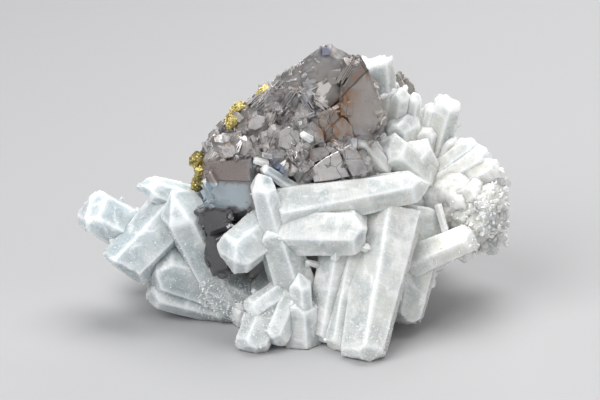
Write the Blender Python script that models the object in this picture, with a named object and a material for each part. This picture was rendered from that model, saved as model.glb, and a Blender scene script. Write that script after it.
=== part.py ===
"""Sphalerite on milky quartz, a small cabinet specimen.

Metres, +Z up. The origin is the middle of the footprint on the plane the specimen rests on.
Every crystal, grain and lump is a convex solid bounded by planes. The quartz is one union of
all its crystals and the broken rock they grow from, cut flat underneath. The ore grows round
the quartz, so it is cut by the same solids, each moved outward by the clearance.
"""

import itertools
import math

import bmesh
import bpy
import numpy as np

# Driving dimensions. The layout below is drawn on a grid of 0.2 mm, as seen on display.
GRID = 0.0002
DISPLAY_TILT = math.radians(22.0)
CLEARANCE = 0.0003
FRAME_SHIFT = (0.0006, -0.0039)
EDGE_MERGE = 2.0e-6
FLAT_ANGLE = 0.002
NEARLY_PARALLEL = 1.0e-4
TOUCHING = 1.0e-6
CORNER_DIGITS = 5
PLANE_DIGITS = 3
ALONG_SIGHT = 0.95
GROUND_HALF = 400
GROUND_DEPTH = 300

# A quartz crystal. Reaches, lifts and staggers are parts of its half or whole width.
SIDE_LEAN_DEGREES = (0.3, 3.4)
SIDE_REACH = (0.82, 1.03)
TIP_SLOPE_DEGREES = {"pointed": 38.2, "blunt": 50.0}
TIP_LIFT = {"pointed": 0.0, "blunt": 0.16}
TIP_STAGGER = 0.45
WORN_TIP_TILT = 0.18
BREAK_TILT = 0.40
BREAK_LIFT = 0.10
BREAK_FACES = 3
CRUST_ROLL_STEP = 17
CRUST_POINTED_EVERY = 3

# A lump of rock: how many planes touch its ellipsoid, and how unevenly.
LUMP_FACES = 26
LUMP_JITTER = 0.16
LUMP_REACH = (0.86, 1.0)

# A stack of ore plates. Reaches and rises are parts of the stack's size.
ORE_MIDDLE = (0, 180, 20)
ORE_TWINS = (11, 23, 42)
ORE_STEPS = 3
ORE_FIRST_RISE = 0.10
ORE_STEP_RISE = 0.11
ORE_FIRST_REACH = 0.46
ORE_STEP_IN = 0.12
ORE_STEP_DRIFT = 0.07
ORE_FOOT = 0.9
ORE_SIDE_REACH = (0.85, 1.15)
ORE_CORNER_REACH = (1.2, 1.5)

# A grain: four broad faces of a tetrahedron, four small ones and the faces of a cube.
GRAIN_BROAD = 0.50
GRAIN_SMALL = 0.80
GRAIN_SPREAD = (0.85, 1.15)
GRAIN_CUBE = (0.72, 0.95)

# Where the dice of each family of solids start.
FRONT_SEED = 100
CRUST_SEED = 200
BACK_SEED = 300
LUMP_SEED = 400
ORE_FRONT_SEED = 500
ORE_BACK_SEED = 600
SMALL_ORE_SEED = 650
BRASS_SEED = 700
PERCHED_SEED = 800

POINTED = "pointed"
BLUNT = "blunt"
BROKEN = "broken"

# Crystals of the front, as (tip, root, width, roll, end).
# A place is (across, up, back) in grid steps: across and up as seen on display.
FRONT_CRYSTALS = [
    # left side
    ((-212, 113, 10), (-106, 52, 30), 46, 0, BLUNT),
    ((-172, 52, -15), (-116, 114, 22), 54, 20, BROKEN),
    ((-157, 136, 0), (-56, 108, 25), 28, 30, POINTED),
    ((-124, 130, -20), (-66, 18, 8), 50, 10, POINTED),
    ((-146, 58, -2), (-44, 26, 18), 60, 12, BLUNT),
    ((-148, 36, 2), (-36, 12, 12), 46, 25, BLUNT),
    ((-92, 48, 0), (-26, 10, 4), 50, 10, BLUNT),
    ((-64, -3, -16), (-20, 40, 5), 36, 0, BLUNT),
    # centre
    ((-37, 147, -52), (0, 16, -38), 31, 0, POINTED),
    ((-24, 98, -46), (6, 8, -40), 40, 12, BLUNT),
    ((-68, 60, -62), (-4, 112, -15), 46, 15, BLUNT),
    ((-47, 8, -70), (-4, 36, -44), 25, 30, BLUNT),
    ((-48, -29, -84), (-24, 22, -50), 36, 20, BLUNT),
    ((-24, -20, -80), (-4, 26, -50), 30, 40, BLUNT),
    ((-12, -24, -62), (-8, 40, -40), 15, 0, POINTED),
    ((3, 49, -60), (8, -26, -60), 27, 0, POINTED),
    ((2, 22, -58), (6, -26, -58), 38, 14, BLUNT),
    ((26, -20, -60), (44, 72, -34), 36, 10, BLUNT),
    ((44, -30, -78), (66, 70, -34), 36, 30, BLUNT),
    ((63, -40, -98), (95, 112, -12), 56, 10, BLUNT),
    ((9, 60, -54), (28, 54, -36), 8, 0, POINTED),
    ((-60, 17, -66), (-40, 7, -46), 7, 0, POINTED),
    ((-33, 153, -42), (0, 130, -30), 14, 0, BLUNT),
    # lying across the front
    ((134, 137, -20), (-18, 113, -38), 42, 8, POINTED),
    ((70, 90, -48), (-16, 90, -38), 48, 20, BLUNT),
    # lower right
    ((108, -3, -32), (132, 112, 16), 44, 10, BLUNT),
    ((127, 24, -16), (134, 84, 8), 22, 0, POINTED),
    ((132, 48, 6), (146, 106, 18), 34, 20, BLUNT),
    ((178, 86, -20), (112, 58, -14), 32, 0, BLUNT),
    ((176, 61, 15), (150, 84, 30), 18, 0, BLUNT),
    ((151, 84, -14), (142, 116, 2), 9, 0, POINTED),
    # top and upper right
    ((76, 256, 62), (82, 170, 72), 43, 30, BROKEN),
    ((106, 234, 52), (92, 150, 60), 20, 0, POINTED),
    ((120, 229, 55), (110, 150, 60), 17, 20, POINTED),
    ((131, 217, 58), (122, 160, 60), 9, 0, POINTED),
    ((154, 222, 55), (128, 135, 60), 33, 10, BLUNT),
    ((140, 216, 56), (120, 140, 60), 22, 0, BLUNT),
    ((104, 204, 48), (112, 140, 56), 40, 10, BLUNT),
    ((134, 198, 54), (130, 140, 58), 34, 20, BLUNT),
    ((161, 184, 44), (130, 138, 50), 14, 0, POINTED),
    ((171, 180, 42), (132, 140, 50), 16, 10, BLUNT),
    ((181, 177, 34), (124, 132, 46), 25, 0, BLUNT),
    ((192, 169, 24), (122, 122, 40), 28, 12, BLUNT),
    ((202, 156, 16), (126, 112, 34), 26, 5, BLUNT),
    ((186, 134, 2), (126, 98, 28), 30, 20, BLUNT),
    ((90, 176, 8), (136, 136, 45), 38, 0, BLUNT),
    ((118, 176, 26), (140, 130, 50), 30, 0, BLUNT),
    ((58, 184, -24), (90, 152, 5), 18, 0, POINTED),
    ((63, 202, -14), (84, 165, 8), 10, 0, POINTED),
    ((82, 222, 42), (100, 229, 56), 7, 0, POINTED),
]

# Crystals of the right-hand crust, all growing out of one swelling.
CRUST_ROOT = (162, 108, 46)
CRUST_TIPS = [
    ((213, 143, 24), 15), ((213, 131, 18), 13), ((212, 120, 12), 14), ((213, 108, 12), 15),
    ((210, 97, 12), 12), ((212, 87, 12), 13), ((213, 76, 14), 15), ((204, 70, 16), 14),
    ((193, 70, 14), 15), ((182, 67, 14), 16), ((200, 124, -4), 36), ((194, 98, -8), 38),
    ((176, 112, -12), 34), ((206, 112, 56), 24), ((208, 92, 48), 22), ((198, 128, 72), 24),
    ((190, 84, 80), 24),
]

# Crystals of the back, as (tip, root, width, roll, end), with x, y and z in grid steps.
BACK_CRYSTALS = [
    ((-150, 120, 62), (-40, 50, 70), 42, 0, BLUNT),
    ((-104, 142, 40), (0, 50, 60), 42, 20, POINTED),
    ((-28, 150, 92), (10, 50, 80), 46, 10, BLUNT),
    ((52, 152, 48), (40, 60, 60), 42, 0, POINTED),
    ((112, 148, 104), (70, 60, 90), 42, 15, POINTED),
    ((158, 128, 62), (90, 50, 70), 40, 0, BLUNT),
    ((-62, 126, 146), (0, 50, 90), 36, 10, POINTED),
    ((22, 142, 168), (40, 60, 100), 36, 0, BLUNT),
    ((134, 128, 158), (100, 60, 120), 36, 25, POINTED),
    ((178, 92, 124), (120, 60, 110), 36, 0, POINTED),
    ((-168, 78, 44), (-60, 50, 60), 40, 12, BLUNT),
    ((74, 128, 206), (80, 74, 140), 30, 0, POINTED),
]

# The rock under the crystals: (centre, radii) with x, y and z in grid steps.
ROCK_LUMPS = [
    ((-48, 52, 36), (68, 56, 58)),
    ((42, 60, 46), (80, 66, 70)),
    ((112, 66, 100), (62, 58, 74)),
    ((24, 14, 82), (66, 48, 56)),
    ((88, 72, 146), (44, 38, 60)),
    ((163, 42, 110), (48, 48, 52)),
    ((10, 46, 112), (62, 40, 40)),
]

# The ore: convex pieces as (outline of (across, up), front, back, bevel), all in grid steps.
ORE_PIECES = [
    ([(-20, 240), (-6, 248), (9, 252), (26, 272), (35, 273), (50, 260), (62, 258), (68, 248),
      (76, 215), (40, 190), (0, 190), (-30, 215)], -16, 46, 12),
    ([(46, 260), (62, 262), (71, 248), (79, 228), (87, 206), (83, 196), (77, 176), (56, 178),
      (42, 210)], -28, 34, 6),
    ([(-84, 186), (-74, 190), (-60, 203), (-50, 217), (-38, 223), (-18, 240), (30, 222),
      (30, 150), (-82, 150)], -20, 56, 16),
    ([(-90, 112), (-89, 146), (-87, 174), (-82, 186), (-36, 182), (-36, 108), (-56, 101),
      (-80, 100)], -36, 40, 7),
    ([(0, 200), (70, 196), (77, 174), (76, 148), (54, 122), (0, 116), (-44, 118), (-44, 160)],
     -26, 56, 10),
    ([(-97, 110), (-96, 98), (-86, 84), (-64, 92), (-64, 110), (-80, 114)], -46, 0, 5),
    ([(-88, 90), (-91, 64), (-83, 44), (-65, 48), (-66, 88)], -42, -6, 5),
    ([(-90, 140), (-88, 158), (-44, 162), (-42, 138)], -42, 0, 3),
]

# The stepped crystals that stand out of the ore's front: (across, up, back) and size.
ORE_FRONT_SITES = [
    ((-70, 168, -20), 24), ((-54, 186, -18), 22), ((-32, 204, -16), 24), ((-10, 224, -12), 24),
    ((8, 236, -10), 20), ((28, 256, -4), 20), ((-46, 162, -24), 22), ((-24, 182, -22), 26),
    ((-2, 202, -18), 24), ((18, 216, -16), 24), ((36, 234, -12), 22), ((-16, 152, -28), 24),
    ((6, 174, -26), 28), ((28, 192, -22), 24), ((44, 206, -20), 20), ((34, 166, -28), 24),
    ((54, 178, -26), 18), ((12, 148, -32), 22), ((54, 156, -28), 20), ((-34, 134, -32), 18),
    ((48, 246, -10), 18), ((-66, 192, -8), 16), ((-30, 226, -4), 18), ((-8, 240, 4), 16),
    ((-40, 178, -24), 18), ((-12, 190, -24), 16), ((20, 182, -26), 16), ((-30, 168, -28), 16),
]

# The ore's stepped crystals at the back and the sides, with x, y and z in grid steps.
ORE_BACK_SITES = [
    ((-60, 44, 168), 30), ((-34, 52, 196), 34), ((0, 54, 216), 36), ((30, 46, 240), 30),
    ((-10, 60, 176), 34), ((-74, 30, 140), 30), ((-40, 58, 150), 32), ((60, 34, 214), 28),
    ((-84, 6, 170), 22), ((-66, 20, 190), 24), ((56, 38, 180), 26), ((-30, 24, 230), 26),
    ((12, 24, 262), 22), ((72, 10, 232), 20), ((-84, 26, 120), 22),
]

# The small lump of ore behind the quartz, as (across, up, back) and size.
BACK_ORE_SITES = [
    ((100, 236, 82), 17), ((108, 232, 84), 15), ((94, 230, 84), 16),
]

# Brassy grains on the ore's left edge, as (name, sites of (across, up, back) and size).
BRASS_GRAINS = [
    ("chalcopyrite_low", [((-97, 160, -4), 11), ((-94, 151, -8), 11), ((-97, 142, -6), 10),
                          ((-99, 134, -2), 9), ((-92, 158, 8), 11), ((-93, 145, 8), 12)]),
    ("chalcopyrite_knob", [((-62, 198, -20), 6.5), ((-65, 194, -18), 6), ((-66, 201, -14), 6)]),
    ("chalcopyrite_middle", [((-58, 211, -9), 6.5), ((-54, 213, -11), 6), ((-62, 209, -7), 5.5)]),
    ("chalcopyrite_top", [((-34, 225, -13), 6.5), ((-30, 229, -13), 6), ((-36, 221, -13), 6)]),
]

# Small quartz crystals that sit on the ore alone, as (name, tip, root, width).
PERCHED = [
    ("perched_quartz_white", (-42, 160, -38), (-28, 156, -36), 9),
    ("perched_quartz_oval", (6, 185, -52), (14, 180, -40), 8),
    ("perched_quartz_left", (-90, 141, -40), (-87, 135, -38), 8),
]


class Solid:
    """A convex solid: every point p with normals @ p <= offsets. Grid steps throughout."""

    def __init__(self, normals, offsets):
        self.normals = np.asarray(normals, float)
        self.offsets = np.asarray(offsets, float)

    def grown(self, amount):
        """The same solid with every face moved outward by an amount in grid steps."""
        return Solid(self.normals, self.offsets + amount)

    def corners(self):
        """The corners: the points where three planes meet that no other plane cuts off."""
        triples = np.array(list(itertools.combinations(range(len(self.offsets)), 3)))
        rows = self.normals[triples]
        usable = np.abs(np.linalg.det(rows)) > NEARLY_PARALLEL
        points = np.linalg.solve(rows[usable], self.offsets[triples[usable]][..., None])[..., 0]
        inside = np.all(points @ self.normals.T <= self.offsets + TOUCHING, axis=1)
        return np.unique(np.round(points[inside], CORNER_DIGITS), axis=0)

    def meets(self, others):
        """Whether this solid's bounding box meets that of any other solid."""
        mine = self.corners()
        low, high = mine.min(axis=0), mine.max(axis=0)
        for other in others:
            theirs = other.corners()
            if np.all(theirs.min(axis=0) < high) and np.all(theirs.max(axis=0) > low):
                return True
        return False

    def mesh(self, name):
        """A new object with this solid's surface, in metres."""
        work = bmesh.new()
        for corner in self.corners() * GRID:
            work.verts.new(corner)
        result = bmesh.ops.convex_hull(work, input=work.verts)
        loose = {g for g in result["geom_interior"] if isinstance(g, bmesh.types.BMVert)}
        bmesh.ops.delete(work, geom=list(loose), context="VERTS")
        bmesh.ops.dissolve_limit(work, angle_limit=FLAT_ANGLE, verts=work.verts, edges=work.edges)
        bmesh.ops.recalc_face_normals(work, faces=work.faces)
        data = bpy.data.meshes.new(name)
        work.to_mesh(data)
        work.free()
        thing = bpy.data.objects.new(name, data)
        bpy.context.scene.collection.objects.link(thing)
        return thing


def place(spot):
    """Grid place (across, up, back), as seen on display, turned into x, y and z."""
    across, up, back = spot
    height = (up - back * math.sin(DISPLAY_TILT)) / math.cos(DISPLAY_TILT)
    return np.array([across, back, height], float)


def unit(vector):
    return vector / np.linalg.norm(vector)


def cross_frame(axis, roll):
    """Two directions square to an axis and to each other, turned by the roll in degrees."""
    sight = np.array([0.0, math.cos(DISPLAY_TILT), -math.sin(DISPLAY_TILT)])
    if abs(float(axis @ sight)) > ALONG_SIGHT:
        sight = np.array([1.0, 0.0, 0.0])
    first = unit(np.cross(axis, sight))
    second = np.cross(axis, first)
    turn = math.radians(roll)
    return (
        first * math.cos(turn) + second * math.sin(turn),
        second * math.cos(turn) - first * math.sin(turn),
    )


def crystal(tip, root, width, roll, end, seed):
    """A quartz crystal: six uneven prism faces, a root, and a tip that is whole or broken."""
    dice = np.random.default_rng(seed)
    axis = unit(tip - root)
    first, second = cross_frame(axis, roll)
    normals = [-axis]
    offsets = [float(-axis @ root)]
    middle = (tip + root) / 2
    for side in range(6):
        turn = math.radians(60 * side)
        out = first * math.cos(turn) + second * math.sin(turn)
        lean = math.radians(dice.uniform(*SIDE_LEAN_DEGREES))
        normal = out * math.cos(lean) + axis * math.sin(lean)
        normals.append(normal)
        offsets.append(float(normal @ (middle + out * width / 2 * dice.uniform(*SIDE_REACH))))
        if end == BROKEN:
            continue
        slope = math.radians(TIP_SLOPE_DEGREES[end])
        face = out * math.cos(slope) + axis * math.sin(slope)
        stagger = TIP_STAGGER * dice.uniform(0.0, 1.0) * (side % 2)
        normals.append(face)
        offsets.append(float(face @ (tip + axis * width * (stagger + TIP_LIFT[end]))))
    tilt, lift = (BREAK_TILT, BREAK_LIFT) if end == BROKEN else (WORN_TIP_TILT, 0.0)
    for _ in range({POINTED: 0, BLUNT: 1, BROKEN: BREAK_FACES}[end]):
        cut = unit(axis + tilt * (first * dice.uniform(-1, 1) + second * dice.uniform(-1, 1)))
        normals.append(cut)
        offsets.append(float(cut @ (tip + axis * width * lift)))
    return Solid(normals, offsets)


def lump(centre, radii, seed):
    """A broken lump: planes that touch an ellipsoid, spread evenly and then jittered."""
    dice = np.random.default_rng(seed)
    index = np.arange(LUMP_FACES) + 0.5
    lift = 1 - 2 * index / LUMP_FACES
    turn = index * math.pi * (3 - math.sqrt(5))
    ring = np.sqrt(1 - lift**2)
    normals = np.stack([ring * np.cos(turn), ring * np.sin(turn), lift], axis=1)
    normals = normals + dice.normal(0, LUMP_JITTER, normals.shape)
    normals /= np.linalg.norm(normals, axis=1)[:, None]
    reach = np.linalg.norm(normals * radii, axis=1) * dice.uniform(*LUMP_REACH, LUMP_FACES)
    return Solid(normals, normals @ centre + reach)


def ore_crystal(centre, size, seed):
    """A small grain: four broad faces of a tetrahedron, four small ones and a cube."""
    dice = np.random.default_rng(seed)
    turn = random_turn(dice)
    normals = []
    offsets = []
    for sx, sy, sz in itertools.product((-1, 1), repeat=3):
        broad = sx * sy * sz > 0
        normals.append(turn @ unit(np.array([sx, sy, sz], float)))
        offsets.append(size * (GRAIN_BROAD if broad else GRAIN_SMALL) * dice.uniform(*GRAIN_SPREAD))
    for axis in np.concatenate([np.eye(3), -np.eye(3)]):
        normals.append(turn @ axis)
        offsets.append(size * dice.uniform(*GRAIN_CUBE))
    normals = np.array(normals)
    return Solid(normals, np.array(offsets) + normals @ centre)


def ore_steps(centre, size, seed):
    """A stepped sphalerite crystal: triangular plates of one shared lattice, stacked outward.

    The ore is a mass of twins, so every stack takes one of a few lattice directions, and the
    stack climbs along the tetrahedral axis that points away from the middle of the mass.
    """
    dice = np.random.default_rng(seed)
    lattice = random_turn(np.random.default_rng(ORE_TWINS[seed % len(ORE_TWINS)]))
    faces = np.array([(1, 1, 1), (1, -1, -1), (-1, 1, -1), (-1, -1, 1)]) / math.sqrt(3)
    faces = faces @ lattice.T
    outward = unit(centre - place(ORE_MIDDLE))
    facing = faces @ outward
    if -facing.min() > facing.max():
        faces = -faces
        facing = -facing
    top = faces[int(np.argmax(facing))]
    sides = -np.delete(faces, int(np.argmax(facing)), axis=0)
    plates = []
    drift = np.zeros(3)
    for level in range(ORE_STEPS):
        reach = size * (ORE_FIRST_REACH - ORE_STEP_IN * level)
        normals = [top, -top]
        offsets = [size * (ORE_FIRST_RISE + ORE_STEP_RISE * level), size * ORE_FOOT]
        for side in sides:
            normals.append(side)
            offsets.append(reach * dice.uniform(*ORE_SIDE_REACH))
            normals.append(unit(top * float(top @ side) - side))
            offsets.append(reach * dice.uniform(*ORE_CORNER_REACH))
        normals = np.array(normals)
        plates.append(Solid(normals, np.array(offsets) + normals @ (centre + drift)))
        drift = drift + sides[dice.integers(len(sides))] * size * ORE_STEP_DRIFT
    return plates


def random_turn(dice):
    """A rotation matrix drawn at random: an orthogonal matrix with determinant one."""
    square, _ = np.linalg.qr(dice.normal(size=(3, 3)))
    return square * np.sign(np.linalg.det(square))


def ore_piece(outline, front, back, bevel):
    """A convex block with a given outline on display, bevelled at the front and the back."""
    ring = np.array(outline, float)
    middle = ring.mean(axis=0)
    shrunk = middle + (ring - middle) * (1 - bevel / np.linalg.norm(ring - middle, axis=1).mean())
    corners = [place((a, u, front)) for a, u in shrunk]
    corners += [place((a, u, front + bevel)) for a, u in ring]
    corners += [place((a, u, back - bevel)) for a, u in ring]
    corners += [place((a, u, back)) for a, u in shrunk]
    return hull(np.array(corners))


def hull(points):
    """The convex solid around a set of points."""
    work = bmesh.new()
    for point in points:
        work.verts.new(point)
    bmesh.ops.convex_hull(work, input=work.verts)
    bmesh.ops.recalc_face_normals(work, faces=work.faces)
    planes = {}
    for face in work.faces:
        key = tuple(round(value, PLANE_DIGITS) for value in face.normal)
        planes[key] = (np.array(face.normal), float(face.normal @ face.verts[0].co))
    work.free()
    return Solid([n for n, _ in planes.values()], [d for _, d in planes.values()])


def display_crystal(row, seed):
    tip, root, width, roll, end = row
    return crystal(place(tip), place(root), width, roll, end, seed)


def true_crystal(row, seed):
    tip, root, width, roll, end = row
    return crystal(np.array(tip, float), np.array(root, float), width, roll, end, seed)


def quartz_solids():
    """All solids of the intergrown quartz: front, right-hand crust, back and rock."""
    solids = [display_crystal(row, FRONT_SEED + i) for i, row in enumerate(FRONT_CRYSTALS)]
    root = place(CRUST_ROOT)
    for i, (tip, width) in enumerate(CRUST_TIPS):
        end = BLUNT if i % CRUST_POINTED_EVERY else POINTED
        solids.append(crystal(place(tip), root, width, CRUST_ROLL_STEP * i, end, CRUST_SEED + i))
    solids += [true_crystal(row, BACK_SEED + i) for i, row in enumerate(BACK_CRYSTALS)]
    for i, (centre, radii) in enumerate(ROCK_LUMPS):
        solids.append(lump(np.array(centre, float), np.array(radii, float), LUMP_SEED + i))
    return solids


def ore_solids():
    solids = [ore_piece(*row) for row in ORE_PIECES]
    for i, (spot, size) in enumerate(ORE_FRONT_SITES):
        solids += ore_steps(place(spot), size, ORE_FRONT_SEED + i)
    for i, (spot, size) in enumerate(ORE_BACK_SITES):
        solids += ore_steps(np.array(spot, float), size, ORE_BACK_SEED + i)
    return solids


def combine(name, solids, cut_by=(), material=None):
    """One named object: the union of some solids, less those that cut it."""
    parts = [solid.mesh(f"{name}_{i}") for i, solid in enumerate(solids)]
    body = parts[0]
    boolean(body, parts[1:], "UNION")
    near = [solid for solid in cut_by if solid.meets(solids)]
    cutters = [solid.mesh(f"{name}_cut_{i}") for i, solid in enumerate(near)]
    boolean(body, cutters, "DIFFERENCE")
    body.name = name
    body.data.name = name
    body.data.materials.append(material)
    return body


def boolean(body, others, operation):
    """Join or cut a body with several others at once, and keep its outer shell."""
    if not others:
        return
    group = bpy.data.collections.new("operands")
    bpy.context.scene.collection.children.link(group)
    for other in others:
        other.hide_render = True
        other.display_type = "WIRE"
        group.objects.link(other)
    modifier = body.modifiers.new("join", "BOOLEAN")
    modifier.operation = operation
    modifier.operand_type = "COLLECTION"
    modifier.collection = group
    modifier.solver = "EXACT"
    modifier.use_self = operation == "DIFFERENCE"
    graph = bpy.context.evaluated_depsgraph_get()
    result = bpy.data.meshes.new_from_object(body.evaluated_get(graph))
    body.modifiers.clear()
    body.data = result
    for other in others:
        bpy.data.objects.remove(other)
    bpy.data.collections.remove(group)


def tidy_surface(body):
    """Weld a finished body, drop every shell but the largest, and settle it in the frame."""
    work = bmesh.new()
    work.from_mesh(body.data)
    bmesh.ops.remove_doubles(work, verts=work.verts, dist=EDGE_MERGE)
    bmesh.ops.dissolve_degenerate(work, dist=EDGE_MERGE, edges=work.edges)
    shells = shells_of(work)
    shells.sort(key=len)
    for shell in shells[:-1]:
        bmesh.ops.delete(work, geom=shell, context="FACES")
    bmesh.ops.triangulate(work, faces=work.faces)
    bmesh.ops.translate(work, verts=work.verts, vec=(*FRAME_SHIFT, 0.0))
    work.to_mesh(body.data)
    work.free()


def shells_of(work):
    """The connected groups of faces of a mesh."""
    left = set(work.faces)
    shells = []
    while left:
        reached = {left.pop()}
        front = list(reached)
        while front:
            face = front.pop()
            for edge in face.edges:
                for other in edge.link_faces:
                    if other in left:
                        left.discard(other)
                        reached.add(other)
                        front.append(other)
        shells.append(list(reached))
    return shells


def make_material(name, colour, roughness, metallic):
    material = bpy.data.materials.new(name)
    material.use_nodes = True
    shader = material.node_tree.nodes["Principled BSDF"]
    shader.inputs["Base Color"].default_value = (*colour, 1.0)
    shader.inputs["Roughness"].default_value = roughness
    shader.inputs["Metallic"].default_value = metallic
    material.diffuse_color = (*colour, 1.0)
    return material


def clear_scene():
    for thing in list(bpy.data.objects):
        bpy.data.objects.remove(thing)


def main():
    clear_scene()
    quartz_finish = make_material("milky_quartz", (0.80, 0.82, 0.82), 0.45, 0.0)
    ore_finish = make_material("sphalerite_grey", (0.20, 0.18, 0.17), 0.25, 0.3)
    brass_finish = make_material("chalcopyrite_brass", (0.60, 0.48, 0.12), 0.35, 0.9)

    gap = CLEARANCE / GRID
    quartz = quartz_solids()
    sides = (-GROUND_HALF, GROUND_HALF)
    below = hull(np.array(list(itertools.product(sides, sides, (-GROUND_DEPTH, 0))), float))
    brass = {name: [ore_crystal(place(s), size, BRASS_SEED + i) for i, (s, size) in enumerate(sites)]
             for name, sites in BRASS_GRAINS}
    perched = {name: crystal(place(tip), place(root), width, 0, BLUNT, PERCHED_SEED)
               for name, tip, root, width in PERCHED}
    guests = [grain for grains in brass.values() for grain in grains] + list(perched.values())

    bodies = [combine("quartz_cluster", quartz, [below], quartz_finish)]
    around = [solid.grown(gap) for solid in quartz + guests]
    bodies.append(combine("sphalerite", ore_solids(), around, ore_finish))
    small_ore = [ore_crystal(place(s), size, SMALL_ORE_SEED + i)
                 for i, (s, size) in enumerate(BACK_ORE_SITES)]
    around = [solid.grown(gap) for solid in quartz]
    bodies.append(combine("sphalerite_back", small_ore, around, ore_finish))
    for name, grains in brass.items():
        bodies.append(combine(name, grains, around, brass_finish))
    for name, solid in perched.items():
        bodies.append(combine(name, [solid], around, quartz_finish))
    for body in bodies:
        tidy_surface(body)


main()
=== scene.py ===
"""Looks of the sphalerite-on-quartz specimen.

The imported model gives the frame. The milky quartz is modelled again as rounded, striated
crystals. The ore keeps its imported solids, and fine stepped crystals, flat plates and sheaves of
blades grow on them. The brassy grains and the sugary quartz are joined meshes of many small
crystals. Lengths in the layout are in grid steps of 0.2 mm, as in the part, unless a name or a
docstring says otherwise.
"""

from __future__ import annotations

import logging
import math
from dataclasses import dataclass, field
from enum import Enum
from functools import cached_property, partial, reduce

import bpy
import numpy as np
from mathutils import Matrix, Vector


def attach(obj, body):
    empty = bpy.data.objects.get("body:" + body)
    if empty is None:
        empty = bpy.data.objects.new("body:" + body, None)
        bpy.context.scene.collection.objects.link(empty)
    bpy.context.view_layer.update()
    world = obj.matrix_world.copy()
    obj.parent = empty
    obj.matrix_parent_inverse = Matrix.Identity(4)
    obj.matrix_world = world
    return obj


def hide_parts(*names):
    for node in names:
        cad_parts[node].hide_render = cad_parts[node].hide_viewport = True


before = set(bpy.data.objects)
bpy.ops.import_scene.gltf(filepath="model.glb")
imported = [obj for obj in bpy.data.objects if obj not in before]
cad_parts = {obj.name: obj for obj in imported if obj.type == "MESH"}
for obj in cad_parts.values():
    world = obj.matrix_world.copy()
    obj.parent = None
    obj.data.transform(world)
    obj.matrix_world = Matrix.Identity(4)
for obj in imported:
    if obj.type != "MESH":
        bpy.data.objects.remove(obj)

Socket = bpy.types.NodeSocket
Colour = tuple[float, float, float]

log = logging.getLogger("specimen")

GRID = 0.0002
DISPLAY_TILT = math.radians(22.0)
# On display: the line of sight, and the direction that is seen as up.
SIGHT = np.array([0.0, math.cos(DISPLAY_TILT), -math.sin(DISPLAY_TILT)])
UPWARD = np.array([0.0, math.sin(DISPLAY_TILT), math.cos(DISPLAY_TILT)])
FRAME_SHIFT = np.array([0.0006, -0.0039, 0.0])
PHOTO_MIDDLE = (4.0, 120.5)
PHOTO_WIDTH_STEPS = 600
SHARP_ANGLE = 38.0


class End(Enum):
    """How a crystal ends: a whole pyramid, a worn pyramid or a break."""

    POINTED = "pointed"
    BLUNT = "blunt"
    BROKEN = "broken"


@dataclass(frozen=True)
class EndShape:
    """The planes of an end; lengths are parts of the crystal's width.

    slope is the lean of the pyramid's faces in degrees, or None where there is no pyramid, and
    lift is how far the pyramid is raised. cuts planes cross the axis, turned off square by up to
    spread and set beyond the tip by set_beyond.
    """

    slope: float | None
    lift: float = 0.0
    cuts: int = 0
    spread: float = 0.0
    set_beyond: float = 0.0


END_SHAPES = {
    End.POINTED: EndShape(38.2),
    End.BLUNT: EndShape(50.0, 0.16, 1, 0.18),
    End.BROKEN: EndShape(None, 0.0, 3, 0.40, 0.10),
}

POINTED, BLUNT, BROKEN = End.POINTED, End.BLUNT, End.BROKEN

# Crystals as (tip, root, width, roll, end); a place is (across, up, back) as seen on display.
LEFT_CRYSTALS = [
    ((-212, 113, 10), (-106, 52, 30), 46, 0, BLUNT),
    ((-172, 52, -15), (-116, 114, 22), 54, 20, BROKEN),
    ((-157, 136, 0), (-56, 108, 25), 28, 30, POINTED),
    ((-124, 130, -20), (-66, 18, 8), 50, 10, POINTED),
    ((-146, 58, -2), (-44, 26, 18), 60, 12, BLUNT),
    ((-148, 36, 2), (-36, 12, 12), 46, 25, BLUNT),
    ((-92, 48, 0), (-26, 10, 4), 50, 10, BLUNT),
    ((-64, -3, -16), (-20, 40, 5), 36, 0, BLUNT),
]
CENTRE_CRYSTALS = [
    ((-37, 147, -52), (0, 16, -38), 31, 0, POINTED),
    ((-24, 98, -46), (6, 8, -40), 40, 12, BLUNT),
    ((-68, 60, -62), (-4, 112, -15), 46, 15, BLUNT),
    ((-47, 8, -70), (-4, 36, -44), 25, 30, BLUNT),
    ((-48, -29, -84), (-24, 22, -50), 36, 20, BLUNT),
    ((-24, -20, -80), (-4, 26, -50), 30, 40, BLUNT),
    ((-12, -24, -62), (-8, 40, -40), 15, 0, POINTED),
    ((3, 49, -60), (8, -26, -60), 27, 0, POINTED),
    ((2, 22, -58), (6, -26, -58), 38, 14, BLUNT),
    ((26, -20, -60), (44, 72, -34), 36, 10, BLUNT),
    ((44, -30, -78), (66, 70, -34), 36, 30, BLUNT),
    ((63, -40, -98), (95, 112, -12), 56, 10, BLUNT),
    ((9, 60, -54), (28, 54, -36), 8, 0, POINTED),
    ((-60, 17, -66), (-40, 7, -46), 7, 0, POINTED),
    ((-33, 153, -42), (0, 130, -30), 14, 0, BLUNT),
    ((134, 137, -20), (-18, 113, -38), 42, 8, POINTED),
    ((70, 90, -48), (-16, 90, -38), 48, 20, BLUNT),
]
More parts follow.
